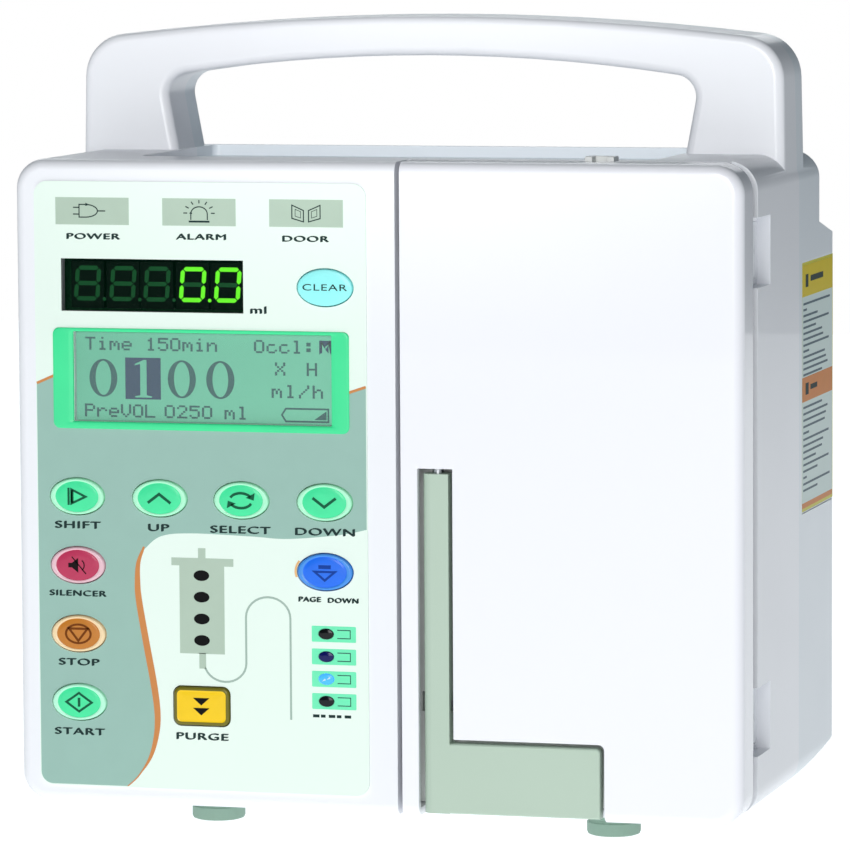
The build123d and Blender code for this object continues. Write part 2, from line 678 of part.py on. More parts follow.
def power_rocker():
    """See-saw switch that rocks about a crosswise axis in its frame."""
    side = Pos(CASE_DEPTH - 4, 56) * Circle(7.2)
    keep = Pos(CASE_DEPTH - 2.0, 56) * Rectangle(12, 12.4)
    rocker = prism_x(side & keep, -70.4, -49.6)
    return rocker.rotate(Axis((0, CASE_DEPTH - 4, 56), (1, 0, 0)), -8)


def rubber_feet():
    feet = []
    for i, (x, y) in enumerate(FEET):
        top = 0.0 if i < 2 else 4.2
        foot = rod_z(x, y, (-FOOT_HEIGHT, top), 7.3)
        foot = soften(foot, foot.faces().sort_by(Axis.Z)[0].edges(), 1.0)
        feet.append(foot + rod_z(x, y, (top - 1, top + 6), 1.9))
    return group(feet)


def housing_screws():
    screws = []
    for x, z in SCREWS:
        head = rod_y(x, (CASE_DEPTH - 1.4, CASE_DEPTH + 0.4), z, 2.9)
        head -= block((x - 1.9, x + 1.9), (CASE_DEPTH - 0.5, CASE_DEPTH + 1), (z - 0.4, z + 0.4))
        head -= block((x - 0.4, x + 0.4), (CASE_DEPTH - 0.5, CASE_DEPTH + 1), (z - 1.9, z + 1.9))
        screws.append(head + rod_y(x, (CASE_DEPTH - 9, CASE_DEPTH - 1.2), z, 1.45))
    return group(screws)


# ---- pole clamp ----
def bolt_places():
    return [(x, CLAMP_Z + z) for x in (-22, 45) for z in (-12, 12)]


def clamp_body():
    """C-shaped casting: base against the casing, hollowed jaw on the left, screw boss on the right."""
    z = (CLAMP_Z - CLAMP_HALF_HEIGHT, CLAMP_Z + CLAMP_HALF_HEIGHT)
    back = CASE_DEPTH + CLAMP_REACH
    body = block((-30, 50), (CASE_DEPTH, CASE_DEPTH + 8), z)
    body += block((-30, -4), (CASE_DEPTH, back), z)
    body += block((40, 50), (CASE_DEPTH, back), z)
    body = soften(body, body.edges().filter_by(Axis.Z).filter_by(lambda e: e.center().Y > back - 1), 3.0)
    body -= rod_z(0, POLE_Y, (z[0] - 1, z[1] + 1), POLE_RADIUS)
    body -= rod_x((38, 52), POLE_Y, CLAMP_Z, SCREW_RADIUS + RUNNING)
    for x, height in bolt_places():
        body -= rod_y(x, (CASE_DEPTH - 1, CASE_DEPTH + 5), height, 2.1)
    return body


def clamp_screw():
    """Screw with its star knob."""
    axis = Pos(POLE_Y, CLAMP_Z)
    shank = rod_x((20.0, 58), POLE_Y, CLAMP_Z, SCREW_RADIUS)
    knob = prism_x(axis * Circle(13.5), 58, 74)
    for i in range(6):
        lobe = Rot(0, 0, 60 * i) * (Pos(13.0, 0) * Circle(4.0))
        knob += prism_x(axis * lobe, 58, 74)
    knob = knob + prism_x(axis * Circle(8), 54, 59)
    return shank + knob


def clamp_pad():
    """Moving jaw on the end of the screw."""
    z = (CLAMP_Z - 13, CLAMP_Z + 13)
    pad = block((14.0, 23.0), (POLE_Y - 9, POLE_Y + 9), z)
    pad -= rod_x((19.5, 24), POLE_Y, CLAMP_Z, SCREW_RADIUS + RUNNING)
    return pad - rod_z(0, POLE_Y, (z[0] - 1, z[1] + 1), POLE_RADIUS + 3.0)


def clamp_bolts():
    """Bolts from inside the casing into the clamp's base."""
    bolts = []
    for x, z in bolt_places():
        shank = rod_y(x, (CASE_DEPTH - WALL - 0.5, CASE_DEPTH + 4.5), z, 2.0)
        bolts.append(shank + rod_y(x, (CASE_DEPTH - WALL - 3, CASE_DEPTH - WALL), z, 3.4))
    return group(bolts)


PARTS = {
    "front_housing": front_housing(),
    "rear_housing": rear_housing(),
    "control_overlay": control_overlay(),
    "lcd_bezel": lcd_bezel(),
    "lcd_window": lcd_window(),
    "lcd_module": lcd_module(),
    "led_window": led_window(),
    "led_display": led_display(),
    "indicator_lamps": indicator_lamps(),
    "display_board": display_board(),
    "tact_switches": tact_switches(),
    "purge_key": purge_button(),
    "door_panel": door_panel(),
    "door_inner_plate": door_inner_plate(),
    "platen": platen(),
    "platen_springs": platen_springs(),
    "latch_lever": latch_lever(),
    "latch_shaft": latch_shaft(),
    "strike_plates": strike_plates(),
    "hinge_leaves": hinge_leaves(),
    "hinge_pins": hinge_pins(),
    "bay_plate": bay_plate(),
    "pressure_sensor": sensor(133, 24),
    "air_sensor": sensor(41, 26),
    "tube_guides": tube_guides(),
    "pump_frame": pump_frame(),
    "camshaft_bearings": camshaft_bearings(),
    "camshaft": camshaft(),
    "cam_pulley": cam_pulley(),
    "motor_pulley": motor_pulley(),
    "drive_motor": drive_motor(),
    "drive_belt": drive_belt(),
    "main_board": main_board(),
    "power_supply_board": power_supply_board(),
    "battery_pack": battery_pack(),
    "battery_cover": battery_cover(),
    "speaker": speaker(),
    "power_inlet": power_inlet(),
    "power_rocker": power_rocker(),
    "rubber_feet": rubber_feet(),
    "housing_screws": housing_screws(),
    "clamp_bolts": clamp_bolts(),
    "clamp_body": clamp_body(),
    "clamp_screw": clamp_screw(),
    "clamp_pad": clamp_pad(),
}
for name, place in KEYS.items():
    PARTS[name] = key_button(place)
for number, height in enumerate(finger_heights(), 1):
    PARTS[f"pump_finger_{number}"] = Pos(0, 0, height) * finger()

os.makedirs("parts", exist_ok=True)
for name, shape in PARTS.items():
    export_step(TO_FRAME * shape, f"parts/{name}.step")
print(len(PARTS), "nodes, front face at y =", round(FRONT_Y, 3))
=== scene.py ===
import math

import bmesh
import bpy
from mathutils import Matrix, Vector


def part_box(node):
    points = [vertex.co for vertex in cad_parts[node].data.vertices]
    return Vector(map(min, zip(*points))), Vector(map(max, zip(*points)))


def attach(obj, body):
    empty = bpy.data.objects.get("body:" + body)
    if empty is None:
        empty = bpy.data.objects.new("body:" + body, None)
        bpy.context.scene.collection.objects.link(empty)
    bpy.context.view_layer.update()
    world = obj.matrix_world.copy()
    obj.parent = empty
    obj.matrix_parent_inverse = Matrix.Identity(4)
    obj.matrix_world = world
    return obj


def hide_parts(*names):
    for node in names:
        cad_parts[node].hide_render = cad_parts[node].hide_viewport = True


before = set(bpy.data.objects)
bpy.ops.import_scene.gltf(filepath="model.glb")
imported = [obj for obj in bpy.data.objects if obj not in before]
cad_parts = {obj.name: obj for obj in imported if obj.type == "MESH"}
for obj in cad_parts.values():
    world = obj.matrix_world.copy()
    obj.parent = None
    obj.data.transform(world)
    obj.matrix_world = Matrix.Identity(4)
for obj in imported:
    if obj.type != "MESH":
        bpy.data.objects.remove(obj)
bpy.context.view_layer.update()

# ---- Studio ----
# A pale seamless floor that glows a little, one broad soft light before the control face, a narrow one on
# the handle and one behind, and the camera, which looks a little down on the pump from its right.
MM = 0.001
casing_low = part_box("front_housing")[0]
CAMERA_TURN, CAMERA_RISE, CAMERA_ROLL = 15.646, 5.544, -0.324
CAMERA_DISTANCE = 1.50116
CAMERA_LENS = 240.8


def turned(turn, rise, distance):
    """A place at that turn to the right of straight in front, that rise above level and that distance."""
    flat = distance * math.cos(math.radians(rise))
    side = math.radians(turn)
    return Vector((flat * math.sin(side), -flat * math.cos(side), distance * math.sin(math.radians(rise))))


def aimed(thing, place, target, roll=0.0):
    thing.location = place
    facing = (Vector(target) - Vector(place)).to_track_quat("-Z", "Y").to_matrix()
    thing.rotation_euler = (facing @ Matrix.Rotation(math.radians(roll), 3, "Z")).to_euler()
    bpy.context.scene.collection.objects.link(thing)


aim = casing_low + Vector((114.227, 0, 104.634)) * MM
camera = bpy.data.objects.new("camera", bpy.data.cameras.new("camera"))
camera.data.lens = CAMERA_LENS
camera.data.sensor_width = 36.0
camera.data.clip_start = 0.1
aimed(camera, aim + turned(CAMERA_TURN, CAMERA_RISE, CAMERA_DISTANCE), aim, CAMERA_ROLL)
bpy.context.scene.camera = camera


def softbox(name, turn, rise, distance, size, power, tint, target=aim, spread=180):
    lamp = bpy.data.lights.new(name, "AREA")
    lamp.shape = "SQUARE"
    lamp.size = size
    lamp.energy = power
    lamp.color = tint
    lamp.spread = math.radians(spread)
    aimed(bpy.data.objects.new(name, lamp), target + turned(turn, rise, distance), target)


softbox("key_softbox", 5, 14, 1.9, 1.0, 19.5, (1.0, 1.0, 1.0))
softbox("handle_spot", 4, 0, 1.5, 0.05, 0.055, (1.0, 1.0, 1.0), aim + Vector((-14.2, 0, 185)) * MM, 12.6)
softbox("rear_softbox", 198, 28, 1.8, 1.2, 9, (0.95, 0.98, 1.0))

scene = bpy.context.scene
scene.view_settings.view_transform = "Standard"
scene.world = bpy.data.worlds.new("studio")
scene.world.use_nodes = True
room = scene.world.node_tree
fill = room.nodes["Background"]
fill.inputs["Color"].default_value = (0.5, 0.78, 1.0, 1)
fill.inputs["Strength"].default_value = 0.06
paper = room.nodes.new("ShaderNodeBackground")
seen = room.nodes.new("ShaderNodeLightPath")
either = room.nodes.new("ShaderNodeMixShader")
room.links.new(seen.outputs["Is Camera Ray"], either.inputs["Fac"])
room.links.new(fill.outputs[0], either.inputs[1])
room.links.new(paper.outputs[0], either.inputs[2])
room.links.new(either.outputs[0], room.nodes["World Output"].inputs["Surface"])
paper.inputs["Color"].default_value = (1, 1, 1, 1)
paper.inputs["Strength"].default_value = 1.0


def linear(red, green, blue):
    """A colour given in 0 to 255 as the eye sees it, turned to light values."""
    parts = [c / 255 for c in (red, green, blue)]
    return tuple(c / 12.92 if c <= 0.04045 else ((c + 0.055) / 1.055) ** 2.4 for c in parts) + (1.0,)


class Wire:
    """A value running between a material's nodes. An expression on wires adds its Math nodes."""

    def __init__(self, finish, socket):
        self.finish = finish
        self.socket = socket

    def math(self, operation, first, second=0.0):
        return self.finish.node("ShaderNodeMath", {"operation": operation}, {0: first, 1: second})

    def __add__(self, other):
        return self.math("ADD", self, other)

    __radd__ = __add__

    def __mul__(self, other):
        return self.math("MULTIPLY", self, other)

    __rmul__ = __mul__

    def __sub__(self, other):
        return self.math("SUBTRACT", self, other)

    def __rsub__(self, other):
        return self.math("SUBTRACT", other, self)

    def above(self, limit):
        return self.math("GREATER_THAN", self, limit)

    def wave(self):
        return self.math("SINE", self)


class Finish:
    """A material on one Principled shader: constants are set on its sockets, patterns are linked to it."""

    def __init__(self, name, colour, roughness, **constants):
        self.material = bpy.data.materials.new(name)
        self.material.use_nodes = True
        self.tree = self.material.node_tree
        self.shader = self.tree.nodes["Principled BSDF"]
        self.feed(self.shader, {"Base Color": colour, "Roughness": roughness})
        self.feed(self.shader, {socket.replace("_", " "): value for socket, value in constants.items()})
        self.colour = colour

    def feed(self, node, inputs):
        for name, value in inputs.items():
            if isinstance(value, Wire):
                self.tree.links.new(value.socket, node.inputs[name])
            else:
                node.inputs[name].default_value = value

    def node(self, kind, settings, inputs, output=0):
        made = self.tree.nodes.new(kind)
        for name, value in settings.items():
            setattr(made, name, value)
        self.feed(made, inputs)
        return Wire(self, made.outputs[output])

    def place(self):
        return self.node("ShaderNodeTexCoord", {}, {}, "Object")

    def noise(self, size, detail=2.0, stretch=None):
        """Noise whose patches are about size millimetres across, stretched along the axes if asked."""
        place = self.place()
        if stretch:
            place = self.node("ShaderNodeMapping", {}, {"Vector": place, "Scale": stretch})
        return self.node("ShaderNodeTexNoise", {}, {"Vector": place, "Scale": 1 / (size * MM),
                                                    "Detail": detail})

    def tint(self, amount, other):
        """Runs the base colour towards another colour where amount is high."""
        mixed = self.node("ShaderNodeMix", {"data_type": "RGBA"}, {0: amount, 6: self.colour, 7: other}, 2)
        self.feed(self.shader, {"Base Color": mixed})

    def gloss(self, roughness):
        self.feed(self.shader, {"Roughness": roughness})

    def relief(self, height, depth):
        """Bump that is depth millimetres deep where height is 1."""
        bump = self.node("ShaderNodeBump", {}, {"Height": height, "Distance": depth * MM})
        self.feed(self.shader, {"Normal": bump})


def darker(colour, share):
    return tuple(c * share for c in colour[:3]) + (1.0,)


def moulded(name, colour, roughness, grain=0.5, depth=0.01, mottle=0.94, **constants):
    """Injection-moulded plastic: a fine spark-eroded grain and a faint unevenness of tone and gloss."""
    finish = Finish(name, colour, roughness, **constants)
    texture = finish.noise(grain)
    clouds = finish.noise(30.0)
    finish.tint(clouds * 0.8, darker(colour, mottle))
    finish.gloss(texture * 0.06 + clouds * 0.08 + (roughness - 0.07))
    finish.relief(texture, depth)
    return finish.material


def staged(name, corners, material):
    mesh = bpy.data.meshes.new(name)
    mesh.from_pydata(corners, [], [tuple(range(len(corners)))])
    mesh.materials.append(material)
    made = bpy.data.objects.new(name, mesh)
    scene.collection.objects.link(made)


FLOOR_HALF = 1.6
floor_corners = [(-FLOOR_HALF, -FLOOR_HALF, 0), (FLOOR_HALF, -FLOOR_HALF, 0),
                 (FLOOR_HALF, FLOOR_HALF, 0), (-FLOOR_HALF, FLOOR_HALF, 0)]
staged("floor", floor_corners, moulded("floor_paper", linear(120, 124, 128), 0.8, 3.0, 0.02, 0.99,
                                        Emission_Color=(0.95, 0.98, 1.0, 1), Emission_Strength=1.0))


# ---- Casing shells ----
# Two injection-moulded white ABS shells that meet on the parting line, with half of the carrying handle on
# each. They are screwed together from behind, and their sharp moulded corners are broken by a small radius.
def finish_mesh(mesh, materials, smooth_below=32):
    for material in materials:
        mesh.materials.append(material)
    mesh.shade_smooth()
    mesh.set_sharp_from_angle(angle=math.radians(smooth_below))
    return mesh


def add_piece(name, mesh, body, replaced=()):
    made = bpy.data.objects.new(name, mesh)
    scene.collection.objects.link(made)
    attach(made, body)
    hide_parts(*replaced)
    return made


def settled(thing):
    """The plain mesh of an object with its modifiers run."""
    bpy.context.view_layer.update()
    evaluated = thing.evaluated_get(bpy.context.evaluated_depsgraph_get())
    mesh = bpy.data.meshes.new_from_object(evaluated)
    bpy.data.objects.remove(thing)
    return mesh


SHARP_EDGE = 38
SAME_PLANE = 0.6


def softened(name, node, body, material, radius=0.3, segments=2):
    """A CAD node's shape with its coplanar triangles joined and its sharp edges rounded."""
    shape = bmesh.new()
    shape.from_mesh(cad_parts[node].data)
    bmesh.ops.remove_doubles(shape, verts=shape.verts, dist=0.002 * MM)
    bmesh.ops.dissolve_limit(shape, angle_limit=math.radians(SAME_PLANE), verts=shape.verts,
                              edges=shape.edges)
    mesh = bpy.data.meshes.new(name)
    shape.to_mesh(mesh)
    shape.free()
    mesh.materials.clear()
    mesh.shade_smooth()
    blank = bpy.data.objects.new(name + "_blank", mesh)
    scene.collection.objects.link(blank)
    edge = blank.modifiers.new("edge", "BEVEL")
    edge.width = radius * MM
    edge.segments = segments
    edge.limit_method = "ANGLE"
    edge.angle_limit = math.radians(SHARP_EDGE)
    flat = blank.modifiers.new("flat", "WEIGHTED_NORMAL")
    flat.weight = 100
    flat.keep_sharp = True
    made = settled(blank)
    made.materials.append(material)
    return add_piece(name, made, body, [node])


casing_white = moulded("casing_abs", linear(246, 247, 251), 0.36, 0.45, 0.006, 0.97, Coat_Weight=0.15)
softened("front_shell", "front_housing", "root", casing_white)
# The rear shell is the same white ABS as the front; its slightly darker, bluer colour is painted shade.
rear_white_painted_shade = moulded("rear_abs_painted_shade", linear(235, 241, 246), 0.36, 0.45, 0.006, 0.97, Coat_Weight=0.15)
softened("rear_shell", "rear_housing", "root", rear_white_painted_shade)


# ---- Works inside the casing ----
# Glass-epoxy boards, the supply's wound and wrapped parts, nickel-metal cells, loudspeaker, motor and pump,
# each standing on its own posts or screws. They are closed in by the shells.
def metal(name, colour, roughness, brushed=None, depth=0.003):
    """Bare metal, brushed along the axis that is stretched most."""
    finish = Finish(name, colour, roughness, Metallic=1.0)
    lines = finish.noise(0.35, 3.0, brushed or (1, 1, 1))
    finish.tint(lines * 0.7, darker(colour, 0.78))
    finish.gloss(lines * 0.18 + (roughness - 0.09))
    finish.relief(lines, depth)
    return finish.material


def board_laminate():
    """Green solder mask with paler copper tracks showing through it."""
    finish = Finish("board_laminate", linear(16, 92, 50), 0.35, Coat_Weight=0.4)
    cells = finish.node("ShaderNodeTexVoronoi", {"distance": "MANHATTAN", "feature": "F1"},
                        {"Vector": finish.place(), "Scale": 260.0})
    tracks = (cells * 22.0).wave().above(0.55)
    finish.tint(tracks * 0.6, linear(60, 140, 84))
    finish.relief(tracks, 0.02)
    return finish.material


def repaint(material, *nodes):
    for node in nodes:
        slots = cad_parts[node].material_slots
        for one in slots:
            one.material = material


laminate = board_laminate()
bright_steel = metal("bright_steel", linear(200, 202, 206), 0.28, (1, 1, 0.06))
cast_aluminium = metal("cast_aluminium", linear(188, 191, 196), 0.46, depth=0.02)
satin_aluminium = metal("satin_aluminium", linear(206, 209, 213), 0.38, (0.06, 1, 1))
black_nylon = moulded("black_nylon", linear(28, 28, 31), 0.5, 0.4, 0.02, 0.8)
acetal = moulded("acetal", linear(238, 240, 238), 0.42, 0.6, 0.008, 0.96)
cell_wrap = moulded("cell_wrap", linear(34, 66, 140), 0.3, 1.2, 0.02, 0.85)
belt_rubber = moulded("belt_rubber", linear(22, 22, 23), 0.75, 0.5, 0.03, 0.8)
repaint(laminate, "display_board", "main_board", "power_supply_board")
repaint(bright_steel, "camshaft", "camshaft_bearings", "latch_shaft", "strike_plates", "hinge_pins",
        "platen_springs",
        "clamp_bolts")
repaint(cast_aluminium, "pump_frame", "clamp_pad")
repaint(satin_aluminium, "cam_pulley", "motor_pulley")
repaint(black_nylon, "tact_switches", "drive_motor", "speaker", "air_sensor", "pressure_sensor")
repaint(acetal, *(f"pump_finger_{number}" for number in range(1, 7)))
repaint(cell_wrap, "battery_pack")
repaint(belt_rubber, "drive_belt")


# ---- Flat print ----
# Every mark on the film, the keys and the displays is a thin closed layer of ink. Outlines are in
# millimetres across and up from the casing's lower left corner, and stand at a depth from its front face.
def ribbon(points, width, closed=False):
    """Outline or outlines of a line of even width along the points, with mitred corners."""
    sides = ([], [])
    count = len(points)
    for i, point in enumerate(points):
        here = Vector(point)
        before = Vector(points[i - 1]) if i or closed else None
        after = Vector(points[(i + 1) % count]) if i < count - 1 or closed else None
        first = (here - before).normalized() if before else (after - here).normalized()
        second = (after - here).normalized() if after else first
        bend = (first + second).normalized() if (first + second).length > 1e-6 else first
        normal = Vector((-bend.y, bend.x))
        reach = width / 2 / max(0.35, normal.dot(Vector((-first.y, first.x))))
        sides[0].append(tuple(here + normal * reach))
        sides[1].append(tuple(here - normal * reach))
    if closed:
        return [sides[0], sides[1]]
    return [sides[0] + sides[1][::-1]]


def arc(middle, radius, start, end, steps=16, high=None):
    """Points along an arc in degrees, or along an oval's if its height differs."""
    high = radius if high is None else high
    turns = [math.radians(start + (end - start) * i / steps) for i in range(steps + 1)]
    return [(middle[0] + radius * math.cos(t), middle[1] + high * math.sin(t)) for t in turns]


def oval(middle, radius, high=None, steps=40):
    return [arc(middle, radius, 0, 360 * (steps - 1) / steps, steps - 1, high)]


def slab(x, z, corner=0.0):
    """Rectangle between limits, its corners rounded if asked."""
    if not corner:
        return [[(x[0], z[0]), (x[1], z[0]), (x[1], z[1]), (x[0], z[1])]]
    left, right, low, high = x[0] + corner, x[1] - corner, z[0] + corner, z[1] - corner
    corners = [((right, high), 0), ((left, high), 90), ((left, low), 180), ((right, low), 270)]
    return [[p for middle, turn in corners for p in arc(middle, corner, turn, turn + 90, 8)]]


def smooth_line(points, steps=8):
    """A Catmull-Rom line through the points."""
    ends = [Vector(points[0])] + [Vector(p) for p in points] + [Vector(points[-1])]
    line = []
    for a, b, c, d in zip(ends, ends[1:], ends[2:], ends[3:]):
        for i in range(steps):
            t = i / steps
            line.append(tuple(0.5 * ((2 * b) + (c - a) * t + (2 * a - 5 * b + 4 * c - d) * t ** 2
                                     + (3 * b - a - 3 * c + d) * t ** 3)))
    return line + [tuple(points[-1])]


def shifted(outlines, middle):
    return [[(middle[0] + x, middle[1] + z) for x, z in outline] for outline in outlines]


def face_on(curve_object, depth, middle=(0, 0), width=1.0):
    """A flat curve or text drawn across and up, stood in the control face at that depth and place."""
    mesh = settled(curve_object)
    for vertex in mesh.vertices:
        x, z, rise = vertex.co
        vertex.co = casing_low + Vector((middle[0] + x * width, depth - rise, middle[1] + z)) * MM
    return mesh


def inked(outlines, depth, thick=0.02):
    """Mesh of outlines filled by the even-odd rule: a closed layer whose back is at depth."""
    curve = bpy.data.curves.new("print", "CURVE")
    curve.dimensions = "2D"
    curve.fill_mode = "BOTH"
    curve.extrude = thick / 2
    for outline in outlines:
        line = curve.splines.new("POLY")
        line.points.add(len(outline) - 1)
        for point, (x, z) in zip(line.points, outline):
            point.co = (x, z, 0, 1)
        line.use_cyclic_u = True
    blank = bpy.data.objects.new("print", curve)
    scene.collection.objects.link(blank)
    return face_on(blank, depth - thick / 2)


CAPITAL_SHARE = 0.69


def lettered(words, middle, height, depth, width=1.0, thick=0.02, spread=1.0):
    """Mesh of plain lettering centred on a place, with capitals of that height."""
    text = bpy.data.curves.new("letters", "FONT")
    text.body = words
    text.align_x = "CENTER"
    text.align_y = "CENTER"
    text.size = height / CAPITAL_SHARE
    text.space_character = spread
    text.extrude = thick / 2
    text.resolution_u = 4
    blank = bpy.data.objects.new("letters", text)
    scene.collection.objects.link(blank)
    return face_on(blank, depth - thick / 2, middle, width)


def merged(meshes):
    """One mesh of several."""
    shape = bmesh.new()
    for mesh in meshes:
        shape.from_mesh(mesh)
    bmesh.ops.remove_doubles(shape, verts=shape.verts, dist=0.0005 * MM)
    joined = bpy.data.meshes.new("print")
    shape.to_mesh(joined)
    shape.free()
    joined.materials.clear()
    return joined


def print_piece(name, meshes, material, body="root"):
    mesh = merged(meshes)
    mesh.materials.append(material)
    return add_piece(name, mesh, body)


def ink(name, colour, roughness=0.42, mottle=0.93):
    """Screen-printed ink: thin, slightly uneven, with a fine mesh left by the screen."""
    finish = Finish(name, colour, roughness, Specular_IOR_Level=0.12)
    finish.tint(finish.noise(6.0), darker(colour, mottle))
    finish.relief(finish.noise(0.2), 0.004)
    return finish.material


# ---- Displays ----
# A backlit liquid-crystal panel behind a clear window, and five green seven-segment digits behind a dark
# one. Both are soldered to the display board, and the windows are glued into the casing's wall.
window_low, window_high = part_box("lcd_window")
lcd_face = (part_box("lcd_module")[0].y - casing_low.y) / MM
led_face = (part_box("led_display")[0].y - casing_low.y) / MM


def panel_glow():
    """Grey-green backlight, a little brighter low on the right, with the fine grid of the liquid crystal."""
    colour = linear(84, 160, 132)
    finish = Finish("lcd_panel", colour, 0.35, Emission_Strength=0.22, Specular_IOR_Level=0.2)
    place = finish.node("ShaderNodeSeparateXYZ", {}, {0: finish.place()})
    across = Wire(finish, place.socket.node.outputs["X"])
    high = Wire(finish, place.socket.node.outputs["Z"])
    bright = (across + 0.083) * 6.0 - (high - 0.135) * 14.0
    finish.tint(bright, linear(112, 186, 156))
    finish.feed(finish.shader, {"Emission Color": linear(110, 190, 160)})
    pixels = (across * (2 * math.pi / (0.5 * MM))).wave() * (high * (2 * math.pi / (0.5 * MM))).wave()
    finish.relief(pixels, 0.01)
    return finish.material


repaint(panel_glow(), "lcd_module")
repaint(moulded("led_carrier", linear(0, 22, 12), 0.5, 0.5, 0.01, 0.8, Specular_IOR_Level=0.15),
        "led_display")

clear_pane = Finish("clear_acrylic", linear(225, 255, 240), 0.08, Alpha=0.06, Specular_IOR_Level=0.12)
clear_pane.relief(clear_pane.noise(8.0), 0.002)
softened("lcd_pane", "lcd_window", "root", clear_pane.material, 0.15)
dark_pane = Finish("dark_acrylic", linear(0, 26, 14), 0.1, Alpha=0.3, Specular_IOR_Level=0.12)
dark_pane.relief(dark_pane.noise(8.0), 0.002)
softened("led_pane", "led_window", "root", dark_pane.material, 0.15)


def segments(middle, wide, high, thick, slant=0.08):
    """The seven bars of one digit, named a to g, each a six-sided bar that leans to the right."""
    half_w, half_h, cut = wide / 2, high / 2, thick / 2

    def bar(x0, z0, x1, z1):
        along = Vector((x1 - x0, z1 - z0)).normalized()
        gap = along * 0.18
        side = Vector((-along.y, along.x)) * cut
        a, b = Vector((x0, z0)) + gap, Vector((x1, z1)) - gap
        corners = [a, a + along * cut + side, b - along * cut + side, b, b - along * cut - side, a + along
                   * cut - side]
        return [(middle[0] + c.x + slant * c.y, middle[1] + c.y) for c in corners]

    x, z = half_w - cut, half_h - cut
    return {"a": bar(-x, z, x, z), "b": bar(x, z, x, 0), "c": bar(x, 0, x, -z), "d": bar(-x, -z, x, -z),
            "e": bar(-x, -z, -x, 0), "f": bar(-x, 0, -x, z), "g": bar(-x, 0, x, 0)}


DIGIT_PLACES = (20.2, 30.2, 39.8, 49.8, 59.6)
DIGIT_HEIGHT = 140.8
lit, unlit = [], []
for index, place in enumerate(DIGIT_PLACES):
    for letter, outline in segments((place, DIGIT_HEIGHT), 7.2, 9.4, 1.15).items():
        (lit if index > 2 and letter != "g" else unlit).append(outline)
    point = oval((place + 4.7, DIGIT_HEIGHT - 4.2), 0.5, steps=12)[0]
    (lit if index == 3 else unlit).append(point)
glowing = Finish("lit_segment", linear(110, 255, 50), 0.4, Emission_Strength=1.5)
glowing.feed(glowing.shader, {"Emission Color": linear(110, 250, 40)})
glowing.relief(glowing.noise(0.3), 0.004)
dim_segment = Finish("unlit_segment", linear(14, 138, 66), 0.4)
dim_segment.relief(dim_segment.noise(0.3), 0.004)
print_piece("lit_digits", [inked(lit, led_face, 0.05)], glowing.material)
print_piece("unlit_digits", [inked(unlit, led_face, 0.05)], dim_segment.material)


def dot_tree():
    """Geometry Nodes tree that stands a small block on every point of a mesh."""
    tree = bpy.data.node_groups.new("dots", "GeometryNodeTree")
    for name, kind in (("Geometry", "NodeSocketGeometry"), ("Dot size", "NodeSocketVector"),
                       ("Ink", "NodeSocketMaterial")):
        tree.interface.new_socket(name, in_out="INPUT", socket_type=kind)
    tree.interface.new_socket("Geometry", in_out="OUTPUT", socket_type="NodeSocketGeometry")
    kinds = ("NodeGroupInput", "GeometryNodeMeshCube", "GeometryNodeInstanceOnPoints",
             "GeometryNodeRealizeInstances", "GeometryNodeSetMaterial", "NodeGroupOutput")
    source, block, stand, realize, colour, out = [tree.nodes.new(kind) for kind in kinds]
    for start, end in ((source.outputs["Dot size"], block.inputs["Size"]),
                       (source.outputs["Geometry"], stand.inputs["Points"]),
                       (block.outputs["Mesh"], stand.inputs["Instance"]),
                       (stand.outputs[0], realize.inputs[0]), (realize.outputs[0], colour.inputs[0]),
                       (source.outputs["Ink"], colour.inputs["Material"]),
                       (colour.outputs[0], out.inputs[0])):
        tree.links.new(start, end)
    return tree


def grown(name, points, tree, values):
    """The plain mesh that a Geometry Nodes tree makes from a set of points."""
    mesh = bpy.data.meshes.new(name)
    mesh.from_pydata(points, [], [])
    blank = bpy.data.objects.new(name, mesh)
    scene.collection.objects.link(blank)
    grow = blank.modifiers.new("grow", "NODES")
    grow.node_group = tree
    for item in tree.interface.items_tree:
        if item.in_out == "INPUT" and item.name in values:
            grow[item.identifier] = values[item.name]
    return settled(blank)


# Each letter is seven rows of five dots, a row's dots given as the bits of one number.
LETTERS = {
    "T": "31 4 4 4 4 4 4", "i": "4 0 12 4 4 4 14", "m": "0 0 26 21 21 17 17", "e": "0 0 14 17 31 16 14",
    "1": "4 12 4 4 4 4 14", "5": "31 16 30 1 1 17 14", "0": "14 17 17 17 17 17 14", "n": "0 0 22 25 17 17 17",
    "O": "14 17 17 17 17 17 14", "c": "0 0 14 16 16 17 14", "l": "12 4 4 4 4 4 14", ":": "0 12 12 0 12 12 0",
    "M": "17 27 21 21 17 17 17", "X": "17 17 10 4 10 17 17", "H": "17 17 17 31 17 17 17",
    "/": "1 1 2 4 8 16 16", "h": "16 16 22 25 17 17 17", "P": "30 17 17 30 16 16 16",
    "r": "0 0 22 25 16 16 16",
    "V": "17 17 17 17 17 10 4", "L": "16 16 16 16 16 16 31", "2": "14 17 1 2 4 8 31", " ": "0 0 0 0 0 0 0",
}
DOT = (0.62, 0.5)


def dotted(words, left, low, pitch=3.42, cell=(0.57, 0.50)):
    """Places of the dots of one line of the liquid-crystal display."""
    places = []
    for number, letter in enumerate(words):
        for row, bits in enumerate(LETTERS[letter].split()):
            for column in range(5):
                if int(bits) >> (4 - column) & 1:
                    x = left + pitch * number + cell[0] * (column + 0.5)
                    places.append((x, low + cell[1] * (6.5 - row)))
    return places


